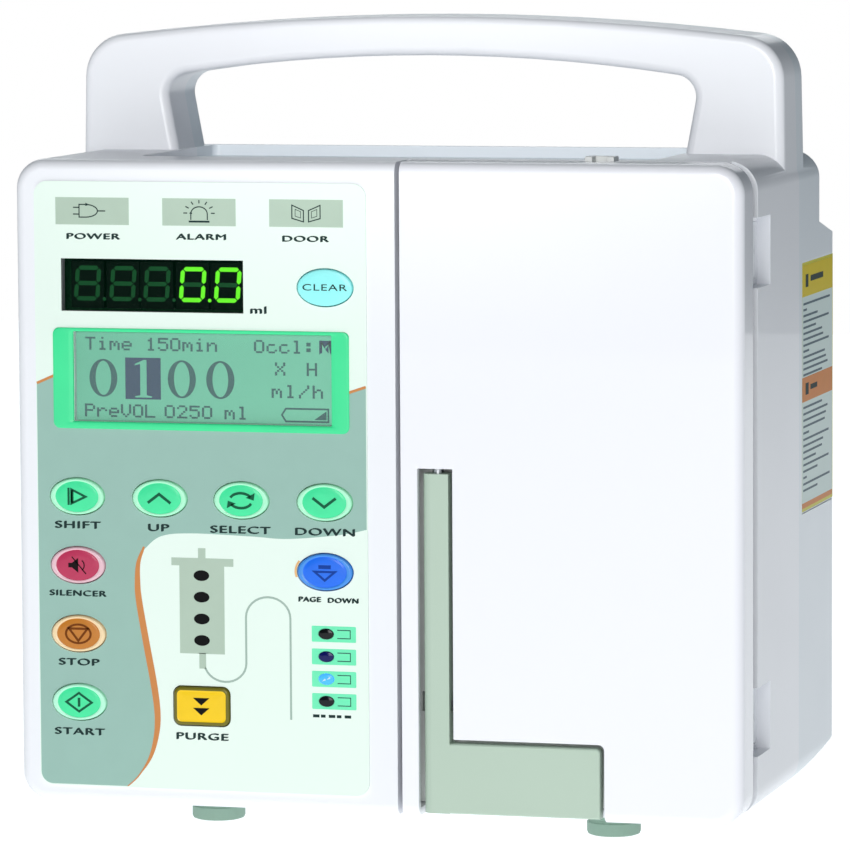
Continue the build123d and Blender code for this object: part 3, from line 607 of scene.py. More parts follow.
lines = dotted("Time 150min", 19.4, 122.9) + dotted("Occl:", 66.8, 122.8, 3.5) + dotted("X H", 72.6, 116.9,
                                                                                        4.4)
lines += dotted("ml/h", 71.6, 110.9, 3.8) + dotted("PreVOL", 19.1, 104.9, 3.4) + dotted("0250", 41.6, 104.9,
                                                                                        3.5)
lines += dotted("ml", 58.4, 104.9, 3.6)
dot_points = [casing_low + Vector((x, lcd_face - 0.03, z)) * MM for x, z in lines]
lcd_ink = ink("lcd_segment", linear(40, 84, 88), 0.5)
block_ink = ink("lcd_block", linear(40, 52, 92), 0.5)
print_piece("lcd_dots", [grown("lcd_dots", dot_points, dot_tree(),
                               {"Dot size": (DOT[0] * MM, 0.03 * MM, DOT[1] * MM), "Ink": lcd_ink})],
            lcd_ink)


def big_nought(middle):
    return oval(middle, 3.95, 5.1) + oval(middle, 2.2, 4.6)


def big_one(middle):
    x, z = middle
    stem = [(x + 1.1, z + 5.0), (x + 1.1, z - 4.5), (x + 2.6, z - 4.8), (x + 2.6, z - 5.1),
            (x - 2.2, z - 5.1),
            (x - 2.2, z - 4.8), (x - 0.7, z - 4.5), (x - 0.7, z + 3.9), (x - 2.2, z + 3.5),
            (x - 2.2, z + 3.9),
            (x + 0.3, z + 5.0)]
    return [stem]


noughts = [outline for x in (24.4, 46.5, 57.3) for outline in big_nought((x, 115.4))]
battery = [(74.4, 106.4), (75.5, 108.1), (87.3, 108.1), (87.3, 104.7), (75.5, 104.7)]
charge = [[(83.4, 105.2), (86.8, 105.2), (86.8, 107.6)]]
m_block = slab((84.9, 88.3), (122.6, 126.4))
m_letter = ribbon([(85.5, 123.0), (85.5, 126.0), (86.6, 124.4), (87.7, 126.0), (87.7, 123.0)], 0.45)
print_piece("lcd_figures", [inked(noughts, lcd_face), inked(ribbon(battery, 0.5, True), lcd_face),
                            inked(charge, lcd_face)], lcd_ink)
print_piece("lcd_cursor", [inked(slab((30.6, 40.6), (109.8, 121.0)) + big_one((35.5, 115.4)), lcd_face),
                           inked(m_block + m_letter, lcd_face)], block_ink)


# ---- Keypad film ----
# A polyester film glued over the left of the face, printed from behind: mint ground, a grey-green wave
# edged in orange, grey boxes, symbols and captions, with holes for the keys, lamps and displays.
film = moulded("film_mint", linear(238, 253, 242), 0.38, 0.3, 0.006, 0.975, Coat_Weight=0.1)
softened("keypad_film", "control_overlay", "root", film, 0.12)
FILM_FACE = (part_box("control_overlay")[0].y - casing_low.y) / MM
film_left, film_right = 5.8 + 0.25, 98.4 - 0.25
film_low = 4.9 + 0.25


def key_middle(name):
    """Across and up from the casing's corner, from the key's own place in the frame."""
    low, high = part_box(name)
    middle = ((low + high) / 2 - casing_low) / MM
    return middle.x, middle.z


def wave_ground():
    """The grey-green area, from behind the display round the left keys and under the top key row."""
    top = [(film_left, 113.8), (12.0, 116.3), (12.0, 103.0), (92.4, 103.0), (92.4, 112.6),
           (film_right, 114.5)]
    right = [(film_right, 76.4), (90.5, 74.8), (76.3, 73.4), (66.0, 73.8), (49.2, 74.2), (40.7, 73.2),
             (36.2, 69.8)]
    curve = smooth_line(right)
    left_edge = smooth_line(S_CURVE[1:])
    corner = arc((film_left + 3.3, film_low + 3.3), 3.3, 270, 180, 8)
    return [top + curve + left_edge + corner]


S_CURVE = [(35.6, 70.3), (33.7, 66.0), (33.2, 61.0), (33.4, 56.0), (35.2, 45.0), (37.4, 33.0), (38.4, 25.0),
           (38.1, 19.0), (36.6, 13.2), (33.6, 8.2), (30.4, film_low)]


def swelling(points, width):
    """A line that is widest at its middle and thin at both ends, lying on the right of the points."""
    line = smooth_line(points)
    count = len(line) - 1
    other = []
    for i, (x, z) in enumerate(line):
        other.append((x + width * (0.25 + 0.75 * max(0.0, math.sin(math.pi
                                                                   * min(1.0, i / count * 1.15))) ** 0.7), z))
    return [line + other[::-1]]


ground = ink("wave_ink", linear(160, 196, 184), 0.4, 0.95)
orange = ink("orange_ink", linear(214, 142, 84), 0.4)
ground_gaps = [outline for name in ("shift_key", "up_key", "select_key", "down_key", "silence_key",
                                    "stop_key",
                                    "start_key") for outline in oval(key_middle(name), 7.9, 5.2)]
print_piece("wave_print", [inked(wave_ground() + ground_gaps, FILM_FACE)], ground)
orange_cover = swelling(S_CURVE, 1.9)
print_piece("orange_line", [inked(orange_cover, FILM_FACE - 0.02),
                            inked(ribbon([(film_left, 113.8), (11.6, 116.2)], 0.7), FILM_FACE - 0.02),
                            inked(ribbon([(92.8, 112.6), (film_right, 114.4)], 0.7), FILM_FACE - 0.02)],
                            orange)

box_ink = ink("box_ink", linear(186, 206, 188), 0.4)
dark_ink = ink("caption_ink", linear(34, 56, 54), 0.5)
line_ink = ink("line_ink", linear(168, 190, 178), 0.45)
black_ink = ink("black_ink", linear(6, 6, 8), 0.5)
mint_ink = ink("mint_ink", linear(122, 246, 192), 0.4)

STATUS_BOXES = ((11.9, 32.6), (42.0, 62.5), (71.8, 92.2))
boxes = [inked(slab(limits, (156.6, 163.9)), FILM_FACE) for limits in STATUS_BOXES]
funnel = [inked(slab((45.8, 58.4), (41.8, 65.9)), FILM_FACE),
          inked(slab((43.6, 61.0), (65.5, 67.6)), FILM_FACE - 0.01),
          inked(slab((51.1, 53.2), (67.4, 70.3)), FILM_FACE),
          inked(slab((51.2, 53.1), (37.8, 42.0)), FILM_FACE)]
print_piece("grey_boxes", boxes + funnel, box_ink)

tube_line = [(52.7, 37.9)] + arc((58.5, 39.6), 5.9, 200, 360, 14, 5.2) + arc((70.6, 52.0), 6.2, 180, 0, 16,
                                                                             5.6)
tube_line += [(76.8, 24.8)]
print_piece("tube_print", [inked(ribbon(tube_line, 0.55), FILM_FACE)], line_ink)

drops = [outline for z in (62.9, 57.1, 51.2, 45.4) for outline in oval((52.0, z), 2.2, 1.45)]
print_piece("drop_print", [inked(drops, FILM_FACE - 0.02)], black_ink)

LAMP_HEIGHTS = (48.2, 42.1, 36.1, 30.1)
LAMP_U = 86.7
lamp_boxes, lamp_lines = [], []
for z in LAMP_HEIGHTS:
    lamp_boxes += slab((82.7, 95.0), (z - 2.15, z + 2.15), 0.3) + oval((LAMP_U, z), 2.2, 1.5)
    lamp_lines += ribbon([(89.8, z + 1.1), (93.4, z + 1.1), (93.4, z - 1.1), (89.8, z - 1.1)], 0.22)
print_piece("lamp_boxes", [inked(lamp_boxes, FILM_FACE)], mint_ink)

plug = [inked(ribbon([(18.6, 162.0), (20.4, 162.0)] + arc((20.4, 160.3), 3.4, 90, -90, 14, 1.7)
                     + [(18.6, 158.6)], 0.3, True), FILM_FACE - 0.02)]
for z in (161.2, 159.4):
    plug.append(inked(ribbon([(16.9, z), (18.6, z)], 0.3), FILM_FACE - 0.02))
plug.append(inked(ribbon([(23.8, 160.3), (26.0, 160.3)], 0.3), FILM_FACE - 0.02))

beacon = [inked(ribbon([(50.0, 158.2), (50.0, 159.8)] + arc((52.3, 159.8), 2.3, 180, 0, 12, 1.9)
                       + [(54.6, 158.2)], 0.3), FILM_FACE - 0.02),
          inked(slab((49.4, 55.2), (157.5, 158.0)), FILM_FACE - 0.02)]
for turn in (0, 30, 60, 90, 120, 150, 180):
    side, rise = math.cos(math.radians(turn)), math.sin(math.radians(turn))
    ray = [(52.3 + 3.3 * side, 160.0 + 2.6 * rise), (52.3 + 4.4 * side, 160.0 + 3.5 * rise)]
    beacon.append(inked(ribbon(ray, 0.3), FILM_FACE - 0.02))

doors = []
for way in (-1, 1):
    leaf = [(82.0 + way * 0.7, 158.0), (82.0 + way * 3.9, 158.9), (82.0 + way * 3.9, 162.4),
            (82.0 + way * 0.7, 161.0)]
    doors.append(inked(ribbon(leaf, 0.3, True), FILM_FACE - 0.02))
    pane = [(82.0 + way * 1.5, 159.0), (82.0 + way * 3.0, 159.5), (82.0 + way * 3.0, 161.3),
            (82.0 + way * 1.5, 160.7)]
    doors.append(inked(ribbon(pane, 0.16, True), FILM_FACE - 0.02))
print_piece("status_symbols", plug + beacon + doors, dark_ink)

CAPTIONS = (("POWER", 22.4, 153.4, 1.5, 1.9), ("ALARM", 52.9, 153.6, 1.5, 1.9),
            ("DOOR", 81.7, 153.4, 1.5, 1.9),
            ("ml", 68.6, 134.3, 1.9, 1.7),
            ("SHIFT", 17.2, 75.6, 1.9, 1.75), ("UP", 40.0, 75.4, 1.9, 1.75),
            ("SELECT", 63.0, 75.4, 1.9, 1.75),
            ("DOWN", 86.6, 75.4, 1.9, 1.75), ("SILENCER", 17.0, 57.1, 1.5, 1.6),
            ("STOP", 17.1, 38.4, 1.8, 1.75),
            ("START", 17.1, 19.5, 1.8, 1.75), ("PURGE", 51.8, 19.3, 1.8, 1.75),
            ("PAGE", 82.2, 57.3, 1.3, 1.3),
            ("DOWN", 91.5, 57.2, 1.3, 1.3))
BOLDER = ((-0.16, -0.07, 0.03), (0.0, 0.0, 0.035), (0.16, 0.07, 0.04))
words = [lettered(text, (x + aside, z + up), high, FILM_FACE - layer, wide, 0.02, 1.1)
         for text, x, z, high, wide in CAPTIONS for aside, up, layer in BOLDER]
words += [inked(lamp_lines, FILM_FACE - 0.02)]
words += [inked(slab((82.9 + 2.2 * i, 82.9 + 2.2 * i + (1.3 if i % 2 else 1.8)), (25.7, 26.5)), FILM_FACE)
          for i in range(5)]
print_piece("captions", words, dark_ink)


# ---- Lamps ----
# Small tinted lenses that stand in holes of the film, over lamps on the display board.
lens_colours = (linear(12, 14, 16), linear(14, 18, 90), linear(70, 165, 250), linear(12, 18, 24))


def lofted(name, loops, indices=None, ring=False):
    """Mesh skinned over a row of loops of points, capped at both ends unless it closes into a ring."""
    indices = indices or [0] * len(loops)
    shape = bmesh.new()
    rows = [[shape.verts.new(point) for point in loop] for loop in loops]
    if ring:
        rows.append(rows[0])
        indices = [*indices, 0]
    for before, after, index in zip(rows, rows[1:], indices[1:]):
        for i in range(len(before)):
            j = (i + 1) % len(before)
            shape.faces.new((before[i], before[j], after[j], after[i])).material_index = index
    if not ring:
        shape.faces.new(rows[0][::-1]).material_index = indices[0]
        shape.faces.new(rows[-1]).material_index = indices[-1]
    bmesh.ops.recalc_face_normals(shape, faces=shape.faces)
    mesh = bpy.data.meshes.new(name)
    shape.to_mesh(mesh)
    shape.free()
    return mesh


def on_face(points, depth):
    """Points across and up, at a depth from the casing's front face."""
    return [casing_low + Vector((x, depth, z)) * MM for x, z in points]


def domed(name, middle, rings, steps=48):
    """Mesh of an oval button whose rings are half width, half height, depth and colour index."""
    loops = []
    for wide, high, depth, _ in rings:
        turns = [2 * math.pi * i / steps for i in range(steps)]
        points = [(middle[0] + wide * math.cos(turn), middle[1] + high * math.sin(turn)) for turn in turns]
        loops.append(on_face(points, depth))
    return lofted(name, loops, [index for *_, index in rings])


LENS_RINGS = ((2.1, 1.4, 4.0, 0), (2.1, 1.4, -0.55, 0), (1.95, 1.27, -0.7, 0), (1.3, 0.85, -0.82, 0),
              (0.5, 0.3, -0.86, 0))
for number, (z, colour) in enumerate(zip(LAMP_HEIGHTS, lens_colours)):
    lens = Finish(f"lens_{number + 1}", colour, 0.12, Specular_IOR_Level=0.3)
    lens.relief(lens.noise(1.5), 0.01)
    if number == 2:
        lens.feed(lens.shader, {"Emission Color": linear(60, 160, 255), "Emission Strength": 0.5})
    piece = finish_mesh(domed(f"lamp_lens_{number + 1}", (LAMP_U, z), LENS_RINGS, 32), [lens.material])
    add_piece(f"lamp_lens_{number + 1}", piece, "root", ["indicator_lamps"]
              if not number else [])
# Two pale flecks laid on the lit blue lens are painted highlights, not print.
painted_glints = []
for x, z in ((86.1, 35.9), (87.4, 36.4)):
    painted_glints.append(inked([[(x - 0.5, z - 0.4), (x + 0.5, z - 0.1), (x + 0.3, z + 0.4)]], -0.86))
print_piece("lamp_glints", painted_glints, ink("lamp_painted_highlight", linear(214, 240, 255)))


# ---- Display frame ----
# A mint-green moulded frame glued into the film round the liquid-crystal window, its inner edges sloped.
def framed(name, outer, inner, levels, corner):
    """Mesh of a rectangular ring whose section is share from outer edge to inner, and depth."""
    loops = []
    for share, depth in levels:
        limits = [outer[i] + (inner[i] - outer[i]) * share for i in range(4)]
        round_by = corner * (1 - share) + 0.25
        loops.append(on_face(slab(limits[:2], limits[2:], round_by)[0], depth))
    return lofted(name, loops, ring=True)


def bezel_finish():
    """Translucent mint plastic, its tone deepening in broad uneven patches."""
    finish = Finish("bezel_mint", linear(70, 240, 160), 0.25, Coat_Weight=0.2, Specular_IOR_Level=0.3)
    finish.tint(finish.noise(14.0) * 0.6, linear(66, 216, 148))
    finish.relief(finish.noise(1.2), 0.006)
    return finish.material


bezel_low, bezel_high = [(corner - casing_low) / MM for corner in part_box("lcd_bezel")]
bezel_outer = (bezel_low.x, bezel_high.x, bezel_low.z, bezel_high.z)
glass_inner = ((window_low.x - casing_low.x) / MM, (window_high.x - casing_low.x) / MM,
               (window_low.z - casing_low.z) / MM, (window_high.z - casing_low.z) / MM)
BEZEL_SECTION = ((0.0, 0.0), (0.0, -0.7), (0.05, -0.86), (0.14, -0.9), (0.72, -0.9), (0.82, -0.86),
                 (0.97, -0.62),
                 (0.985, 0.0))
bezel_mesh = framed("display_frame", bezel_outer, glass_inner, BEZEL_SECTION, 1.6)
add_piece("display_frame", finish_mesh(bezel_mesh, [bezel_finish()], 50), "root", ["lcd_bezel"])


# ---- Keys ----
# Push keys of hard plastic, oval with a raised rim round a printed crown, each on its own switch. Each rim is
# coloured a pale copy of its crown's colour, a painted highlight. The yellow key is square with an olive
# border. Symbols are printed on the crowns.
def key_finish(name, colour, deep=0.86):
    """Glossy printed crown: clear coat over a colour that deepens unevenly."""
    finish = Finish(name, colour, 0.3, Coat_Weight=0.25, Specular_IOR_Level=0.3)
    finish.tint(finish.noise(3.0) * 0.9, darker(colour, deep))
    finish.relief(finish.noise(0.35), 0.008)
    return finish.material


KEY_BACK = 3.2
PURGE_HALF = (7.8, 5.2)
KEY_TOP = (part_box("shift_key")[0].y - casing_low.y) / MM
SYMBOL_FACE = KEY_TOP - 0.005
ROUND_RINGS = ((8.6, 5.9, KEY_BACK, 0), (8.6, 5.9, 2.6, 0), (7.55, 4.85, 2.55, 0), (7.55, 4.85, -0.7, 0),
               (7.42, 4.75, -0.92, 0), (7.1, 4.6, -1.04, 0), (6.7, 4.45, KEY_TOP + 0.02, 0),
               (6.3, 4.3, -1.04, 0),
               (6.1, 4.18, -0.93, 0), (5.95, 4.08, -0.90, 1), (5.7, 3.95, -0.95, 1), (5.0, 3.5, -1.03, 1),
               (3.4, 2.4, KEY_TOP + 0.02, 1), (1.2, 0.9, KEY_TOP + 0.01, 1))


def place_symbol(name, key, outlines, material):
    middle = key_middle(key)
    meshes = [inked(shifted(part, middle), SYMBOL_FACE, 0.05) for part in outlines]
    mesh = merged(meshes)
    mesh.materials.append(material)
    return add_piece(name, mesh, key)


green_crown = key_finish("key_green", linear(72, 240, 166))
KEY_COLOURS = {
    "shift_key": (green_crown, linear(182, 255, 214)), "up_key": (green_crown, linear(182, 255, 214)),
    "select_key": (green_crown, linear(182, 255, 214)), "down_key": (green_crown, linear(182, 255, 214)),
    "start_key": (green_crown, linear(190, 255, 222)),
    "silence_key": (key_finish("key_red", linear(196, 52, 92)), linear(238, 196, 206)),
    "stop_key": (key_finish("key_orange", linear(206, 128, 40)), linear(250, 222, 176)),
    "page_key": (key_finish("key_blue", linear(24, 116, 250)), linear(70, 150, 236)),
}
# The rim colour, paler than the crown, is a painted highlight along the raised rim.
for key, (crown, rim_highlight_colour) in KEY_COLOURS.items():
    painted_rim_highlight = key_finish(key + "_rim", rim_highlight_colour, 0.95)
    shape = domed(key + "_cap", key_middle(key), ROUND_RINGS, 64)
    add_piece(key + "_cap", finish_mesh(shape, [painted_rim_highlight, crown], 50), key, [key])
clear_rings = [(wide, high, depth, 0) for wide, high, depth, _ in ROUND_RINGS[:5]]
clear_rings += [(7.0, 4.5, -1.02, 0), (5.0, 3.3, -1.07, 0), (2.0, 1.4, KEY_TOP + 0.01, 0)]
clear_finish = key_finish("key_cyan", linear(156, 252, 250), 0.96)
clear_cap = domed("clear_key_cap", key_middle("clear_key"), clear_rings, 64)
add_piece("clear_key_cap", finish_mesh(clear_cap, [clear_finish], 50), "clear_key", ["clear_key"])
clear_words = lettered("CLEAR", key_middle("clear_key"), 1.7, SYMBOL_FACE, 1.6, 0.05, 1.1)
print_piece("clear_word", [clear_words], dark_ink, "clear_key")


def square_key():
    """Square cap with rounded corners: an olive border strip, then a yellow crown."""
    middle = key_middle("purge_key")
    levels = ((-1.1, KEY_BACK, 0), (-1.1, 2.6, 0), (0.05, 2.55, 0), (0.05, -0.7, 0), (0.25, -0.95, 0),
              (0.5, -1.05, 0), (0.95, -1.05, 0), (1.15, -0.96, 1), (1.5, -0.98, 1), (2.4, -1.06, 1),
              (3.6, KEY_TOP + 0.01, 1))
    loops = []
    for inset, depth, _ in levels:
        x = (middle[0] - PURGE_HALF[0] + inset, middle[0] + PURGE_HALF[0] - inset)
        z = (middle[1] - PURGE_HALF[1] + inset, middle[1] + PURGE_HALF[1] - inset)
        loops.append(on_face(slab(x, z, max(0.3, 2.0 - 0.8 * inset))[0], depth))
    return lofted("purge_key_cap", loops, [index for *_, index in levels])


olive = key_finish("key_olive", linear(120, 112, 10), 0.8)
yellow = key_finish("key_yellow", linear(255, 210, 0), 0.92)
add_piece("purge_key_cap", finish_mesh(square_key(), [olive, yellow], 50), "purge_key",
          ["purge_key"])

symbol_green = ink("symbol_green", linear(22, 96, 66), 0.35)
symbol_black = ink("symbol_black", linear(24, 10, 14), 0.35)
symbol_brown = ink("symbol_brown", linear(120, 62, 14), 0.35)
symbol_blue = ink("symbol_blue", linear(18, 66, 160), 0.35)
triangle = ribbon([(-1.5, -1.9), (-1.5, 1.9), (2.5, 0.0)], 0.6, True)
stripes = slab((-2.6, -2.0), (-2.3, 2.3)) + slab((-1.6, -0.9), (-1.7, 1.7))
place_symbol("shift_symbol", "shift_key", [triangle, stripes], symbol_green)
place_symbol("up_symbol", "up_key", [ribbon([(-3.2, -1.2), (0, 1.2), (3.2, -1.2)], 0.75)], symbol_green)
place_symbol("down_symbol", "down_key", [ribbon([(-3.2, 1.2), (0, -1.2), (3.2, 1.2)], 0.75)], symbol_green)
upper = ribbon(arc((0, 0), 3.1, 158, 30, 14, 2.0), 0.7) + [[(3.9, 2.1), (3.6, 0.1), (1.4, 0.8)]]
lower = [[(-x, -z) for x, z in outline] for outline in upper]
place_symbol("select_symbol", "select_key", [upper[:1], upper[1:], lower[:1], lower[1:]], symbol_green)
horn = [[(-2.6, -0.6), (-1.6, -0.6), (0.2, -2.0), (0.2, 2.0), (-1.6, 0.6), (-2.6, 0.6)]]
cross = [ribbon([(-1.6, 2.3), (2.4, -2.3)], 0.3), ribbon(arc((0.4, 0), 1.5, -55, 55, 8, 1.6), 0.3)]
place_symbol("silence_symbol", "silence_key", [horn] + cross, symbol_black)
ring = oval((0, 0), 3.8, 2.8) + oval((0, 0), 3.2, 2.25)
place_symbol("stop_symbol", "stop_key", [ring, ribbon([(-2.6, 1.4), (2.6, 1.4), (0, -1.9)], 0.6, True)],
             symbol_brown)
diamond = ribbon([(-3.6, 0), (0, 2.5), (3.6, 0), (0, -2.5)], 0.6, True)
place_symbol("start_symbol", "start_key", [diamond, slab((-0.35, 0.35), (-1.2, 1.2))], symbol_green)
arrow = [ribbon([(-2.8, 0.1), (2.8, 0.1), (0, -2.2)], 0.6, True), slab((-1.7, 1.7), (0.9, 1.9))]
place_symbol("page_symbol", "page_key", arrow, symbol_blue)
purge_marks = [[[(-2.3, z + 0.9), (2.3, z + 0.9), (0, z - 1.1)]] for z in (1.4, -1.3)]
place_symbol("purge_symbol", "purge_key", purge_marks, black_ink)
orange_arcs = ribbon(arc(key_middle("page_key"), 8.25, 196, 150, 8, 5.6), 0.6)
print_piece("page_mark", [inked(orange_arcs, FILM_FACE - 0.02)], ink("mark_ink", linear(240, 190, 130)))


# ---- Door ----
# A shallow moulded cover with a plate screwed inside it, hung on two steel hinges let into the casing's
# right side. The plate carries a sprung platen that the tube is squeezed against.
door_white = moulded("door_abs", linear(249, 249, 254), 0.24, 0.9, 0.003, 0.985, Coat_Weight=0.35)
softened("door_cover", "door_panel", "door", door_white)
softened("door_plate", "door_inner_plate", "door", acetal, 0.2)
softened("tube_platen", "platen", "platen", acetal, 0.25)
hinge_paint = moulded("hinge_paint", linear(236, 239, 243), 0.3, 0.8, 0.01, 0.96, Coat_Weight=0.3)
softened("painted_hinges", "hinge_leaves", "root", hinge_paint, 0.2)
softened("bay_floor_plate", "bay_plate", "root", satin_aluminium, 0.2)
softened("tube_clips", "tube_guides", "root", acetal, 0.25)


# ---- Latch lever ----
# A grey-green moulded lever: its upright strip wraps the latch shaft, and its foot is the grip. Long edges
# are chamfered, so they catch the light.
lever_plastic = moulded("lever_abs", linear(188, 208, 190), 0.4, 0.5, 0.01, 0.95, Coat_Weight=0.1)
softened("latch_handle", "latch_lever", "latch", lever_plastic, 0.35, 3)


# ---- Side label ----
# A vinyl label pressed into a shallow recess of the rear shell: a yellow header, an orange band, rows of
# short grey lines and an orange foot line, inside a yellow-green border.
label_ground = ink("label_vinyl", linear(214, 230, 226), 0.35, 0.97)
label_yellow = ink("label_yellow", linear(224, 200, 0), 0.35)
label_orange = ink("label_orange", linear(214, 124, 0), 0.35)
label_grey = ink("label_grey", linear(78, 104, 116), 0.4)
label_border = ink("label_border", linear(214, 206, 60), 0.35)
LABEL_V, LABEL_W = (75.4, 117.6), (75.1, 143.4)
label_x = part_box("rear_housing")[1].x - 0.25 * MM


def label_layer(limits_v, limits_w, level):
    """Corners of a thin block of the label, between depths and heights on the casing's right side."""
    near, far = label_x + level * MM, label_x + (level + 0.03) * MM
    points = []
    for x in (near, far):
        for v, w in ((limits_v[0], limits_w[0]), (limits_v[1], limits_w[0]), (limits_v[1], limits_w[1]),
                     (limits_v[0], limits_w[1])):
            points.append((x, casing_low.y + v * MM, casing_low.z + w * MM))
    return points


def label_piece(name, blocks, material):
    shape = bmesh.new()
    for limits_v, limits_w, level in blocks:
        corners = [shape.verts.new(p) for p in label_layer(limits_v, limits_w, level)]
        for quad in ((3, 2, 1, 0), (4, 5, 6, 7), (0, 1, 5, 4), (1, 2, 6, 5), (2, 3, 7, 6), (3, 0, 4, 7)):
            shape.faces.new([corners[i] for i in quad])
    bmesh.ops.recalc_face_normals(shape, faces=shape.faces)
    mesh = bpy.data.meshes.new(name)
    shape.to_mesh(mesh)
    shape.free()
    mesh.materials.append(material)
    add_piece(name, mesh, "root")


label_piece("label_sheet", [(LABEL_V, LABEL_W, 0.0)], label_border)
label_piece("label_field", [((76.2, 116.8), (77.4, 142.6), 0.03)], label_ground)
label_piece("label_header", [((76.2, 116.8), (134.0, 142.6), 0.06)], label_yellow)
label_piece("label_band", [((76.2, 116.8), (105.2, 111.9), 0.06), ((76.2, 116.8), (76.0, 77.4), 0.04)],
            label_orange)
LINE_SHARES = (0.94, 0.12, 0.5, 0.9, 0.44, 0.66, 0.7, 0.9, 0.2, 0.76, 0.8, 0.86, 0.66)
rows = []
for index, share in enumerate(LINE_SHARES):
    low = 132.0 - 1.62 * index
    rows.append(((77.6, 77.6 + 38.0 * share), (low - 0.3, low + 0.3), 0.06))
for index, share in enumerate(LINE_SHARES[::-1] + (0.5,)):
    low = 103.6 - 1.75 * index
    rows.append(((77.6, 77.6 + 38.0 * share), (low - 0.3, low + 0.3), 0.06))
marks = [((80.5, 84.0), (136.5, 140.0), 0.09), ((87.0, 104.0), (137.8, 139.4), 0.09),
         ((80.5, 84.5), (107.0, 110.2), 0.09),
         ((87.0, 96.0), (108.0, 109.4), 0.09)]
label_piece("label_lines", rows, label_grey)
label_piece("label_marks", marks, dark_ink)


# ---- Feet ----
# Four turned rubber feet, plugged into the underside, with a rib round the waist and a hollow below.
def spun(middle, axis, along, radius, steps):
    """One loop of points round a middle line, where the radius is in millimetres and follows the turn."""
    loop = []
    for i in range(steps):
        turn = 2 * math.pi * i / steps
        a, b = radius(turn) * MM * math.cos(turn), radius(turn) * MM * math.sin(turn)
        offset = {"X": (along * MM, a, b), "Y": (a, along * MM, b), "Z": (a, b, along * MM)}[axis]
        loop.append(Vector(middle) + Vector(offset))
    return loop


def turned_mesh(name, profile, middle, axis, steps=48):
    """Mesh of a profile of radius and height spun about a middle line, closed at both ends."""
    return lofted(name, [spun(middle, axis, height, lambda turn, r=radius: r, steps) for radius,
                         height in profile])


foot_rubber = moulded("foot_rubber", linear(136, 166, 148), 0.62, 0.4, 0.02, 0.86)
FOOT_RADIUS = 7.3
FOOT_TOP = 8.95
PLUG_TOP = 14.8
REAR_RISE = 4.2
foot_low, foot_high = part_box("rubber_feet")
foot_profile = ((2.6, 0.9), (4.2, 0.9), (4.6, 0.0), (6.3, 0.0), (7.0, 0.25), (FOOT_RADIUS, 0.9),
                (FOOT_RADIUS, 3.4), (6.9, 3.7), (6.9, 4.1), (FOOT_RADIUS, 4.4), (7.25, 8.6))
foot_x = [foot_low.x + FOOT_RADIUS * MM, foot_high.x - FOOT_RADIUS * MM]
foot_y = [foot_low.y + FOOT_RADIUS * MM, foot_high.y - FOOT_RADIUS * MM]
feet = []
for number, y in enumerate(foot_y):
    rise = 0.0 if number == 0 else REAR_RISE
    profile = foot_profile + ((7.2, FOOT_TOP + rise), (1.85, FOOT_TOP + rise), (1.85, PLUG_TOP + rise))
    feet += [turned_mesh("foot", profile, (x, y, 0), "Z") for x in foot_x]
foot_mesh = merged(feet)
add_piece("feet", finish_mesh(foot_mesh, [foot_rubber], 40), "root", ["rubber_feet"])


# ---- Back ----
# Domed screws hold the shells together, a moulded cover closes the battery's compartment, and a black nylon
# inlet carries three flat blades below the power switch.
softened("battery_lid", "battery_cover", "root", casing_white, 0.2)
softened("inlet_shell", "power_inlet", "root", black_nylon, 0.3)
rocker_nylon = moulded("rocker_nylon", linear(38, 38, 42), 0.3, 0.8, 0.01, 0.85, Coat_Weight=0.3)
softened("rocker", "power_rocker", "rocker", rocker_nylon, 0.4, 3)


def screw_tree():
    """Geometry Nodes tree that stands a copy of a turned screw on every point of a mesh."""
    tree = bpy.data.node_groups.new("screws", "GeometryNodeTree")
    for name, kind in (("Geometry", "NodeSocketGeometry"), ("Screw", "NodeSocketObject"),
                       ("Size", "NodeSocketFloat"), ("Metal", "NodeSocketMaterial")):
        tree.interface.new_socket(name, in_out="INPUT", socket_type=kind)
    tree.interface.new_socket("Geometry", in_out="OUTPUT", socket_type="NodeSocketGeometry")
    kinds = ("NodeGroupInput", "GeometryNodeObjectInfo", "GeometryNodeInstanceOnPoints",
             "GeometryNodeRealizeInstances", "GeometryNodeSetMaterial", "NodeGroupOutput")
    source, pattern, stand, realize, colour, out = [tree.nodes.new(kind) for kind in kinds]
    for start, end in ((source.outputs["Screw"], pattern.inputs["Object"]),
                       (source.outputs["Geometry"], stand.inputs["Points"]),
                       (pattern.outputs["Geometry"], stand.inputs["Instance"]),
                       (source.outputs["Size"], stand.inputs["Scale"]),
                       (stand.outputs[0], realize.inputs[0]), (realize.outputs[0], colour.inputs[0]),
                       (source.outputs["Metal"], colour.inputs["Material"]),
                       (colour.outputs[0], out.inputs[0])):
        tree.links.new(start, end)
    return tree


screw_low, screw_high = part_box("housing_screws")
SCREW_HEAD = 2.9
HEAD_RISE = 1.8
screw_seat = screw_high.y - HEAD_RISE * MM
screw_points = [(x, screw_seat, z) for x in (screw_low.x + SCREW_HEAD * MM, screw_high.x - SCREW_HEAD * MM)
                for z in (screw_low.z + SCREW_HEAD * MM, screw_high.z - SCREW_HEAD * MM)]
screw_profile = ((1.4, -7.6), (1.4, 0.2), (SCREW_HEAD, 0.2), (SCREW_HEAD, 1.2), (2.6, 1.5), (1.9, 1.72),
                 (0.9, HEAD_RISE))
pattern = bpy.data.objects.new("screw_pattern", turned_mesh("screw", screw_profile, (0, 0, 0), "Y", 24))
scene.collection.objects.link(pattern)
screws = grown("shell_screws", screw_points, screw_tree(), {"Screw": pattern, "Size": 1.0,
                                                            "Metal": bright_steel})
bpy.data.objects.remove(pattern)
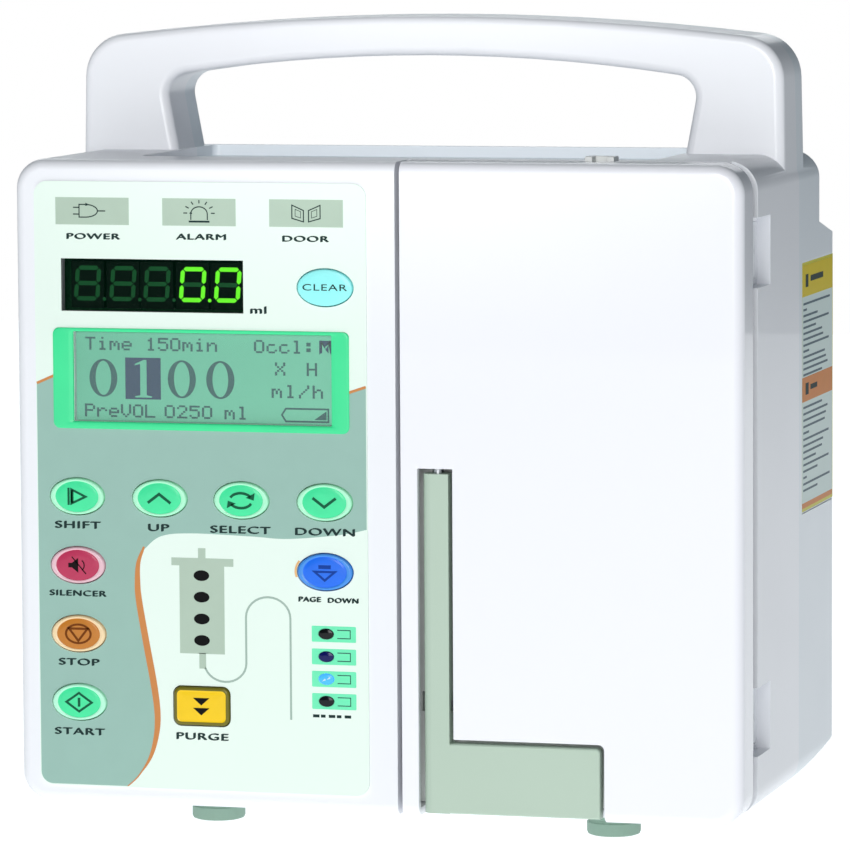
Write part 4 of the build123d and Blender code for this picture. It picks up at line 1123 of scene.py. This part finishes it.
screws.materials.clear()
add_piece("shell_screws", finish_mesh(screws, [bright_steel], 30), "root", ["housing_screws"])


# ---- Pole clamp ----
# A sand-cast aluminium bracket bolted to the rear shell, with a hollowed jaw, and a moving jaw on a screw
# that is turned by a moulded star knob.
softened("clamp_casting", "clamp_body", "root", cast_aluminium, 0.8, 3)
screw_box_low, screw_box_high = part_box("clamp_screw")
screw_axis = (screw_box_low + screw_box_high) / 2


KNOB_LENGTH = 16.0
knob_start = Vector((screw_box_high.x - KNOB_LENGTH * MM, screw_axis.y, screw_axis.z))
thread_start = Vector((screw_box_low.x, screw_axis.y, screw_axis.z))


def star_knob():
    """Closed knob of six rounded lobes along X, its ends softened."""
    rings = ((0.0, 0.86), (0.6, 0.96), (1.6, 1.0), (14.2, 1.0), (15.3, 0.96), (15.9, 0.88), (15.4, 0.42),
             (15.0, 0.36))
    return lofted("knob", [spun(knob_start, "X", height, lambda turn,
                                s=share: (15.2 + 1.8 * math.cos(6 * turn)) * s, 144)
                           for height, share in rings])


def threaded_rod():
    """Rolled thread: rings whose radius rises and falls once a pitch, each turned on from the last."""
    length, pitch, crest, depth = 36.0, 3.0, 4.0, 0.95
    count = int(length / pitch * 8)
    loops = []
    for n in range(count + 1):
        turns_on = length * n / count / pitch

        def radius(turn):
            if n in (0, count):
                return crest - 1.0
            phase = (turns_on - turn / (2 * math.pi)) % 1.0
            return crest - depth * max(0.0, abs(phase - 0.5) * 2 - 0.15)

        loops.append(spun(thread_start, "X", length * n / count, radius, 36))
    return lofted("thread", loops)


collar = turned_mesh("collar", ((7.4, -4.0), (8.0, -3.4), (8.0, 0.2)), knob_start, "X")
knob_nylon = moulded("knob_nylon", linear(26, 26, 28), 0.48, 0.7, 0.04, 0.75)
knob_mesh = finish_mesh(merged([star_knob(), collar]), [knob_nylon], 40)
add_piece("clamp_knob", knob_mesh, "clamp_screw", ["clamp_screw"])
add_piece("clamp_thread", finish_mesh(threaded_rod(), [bright_steel], 60), "clamp_screw")
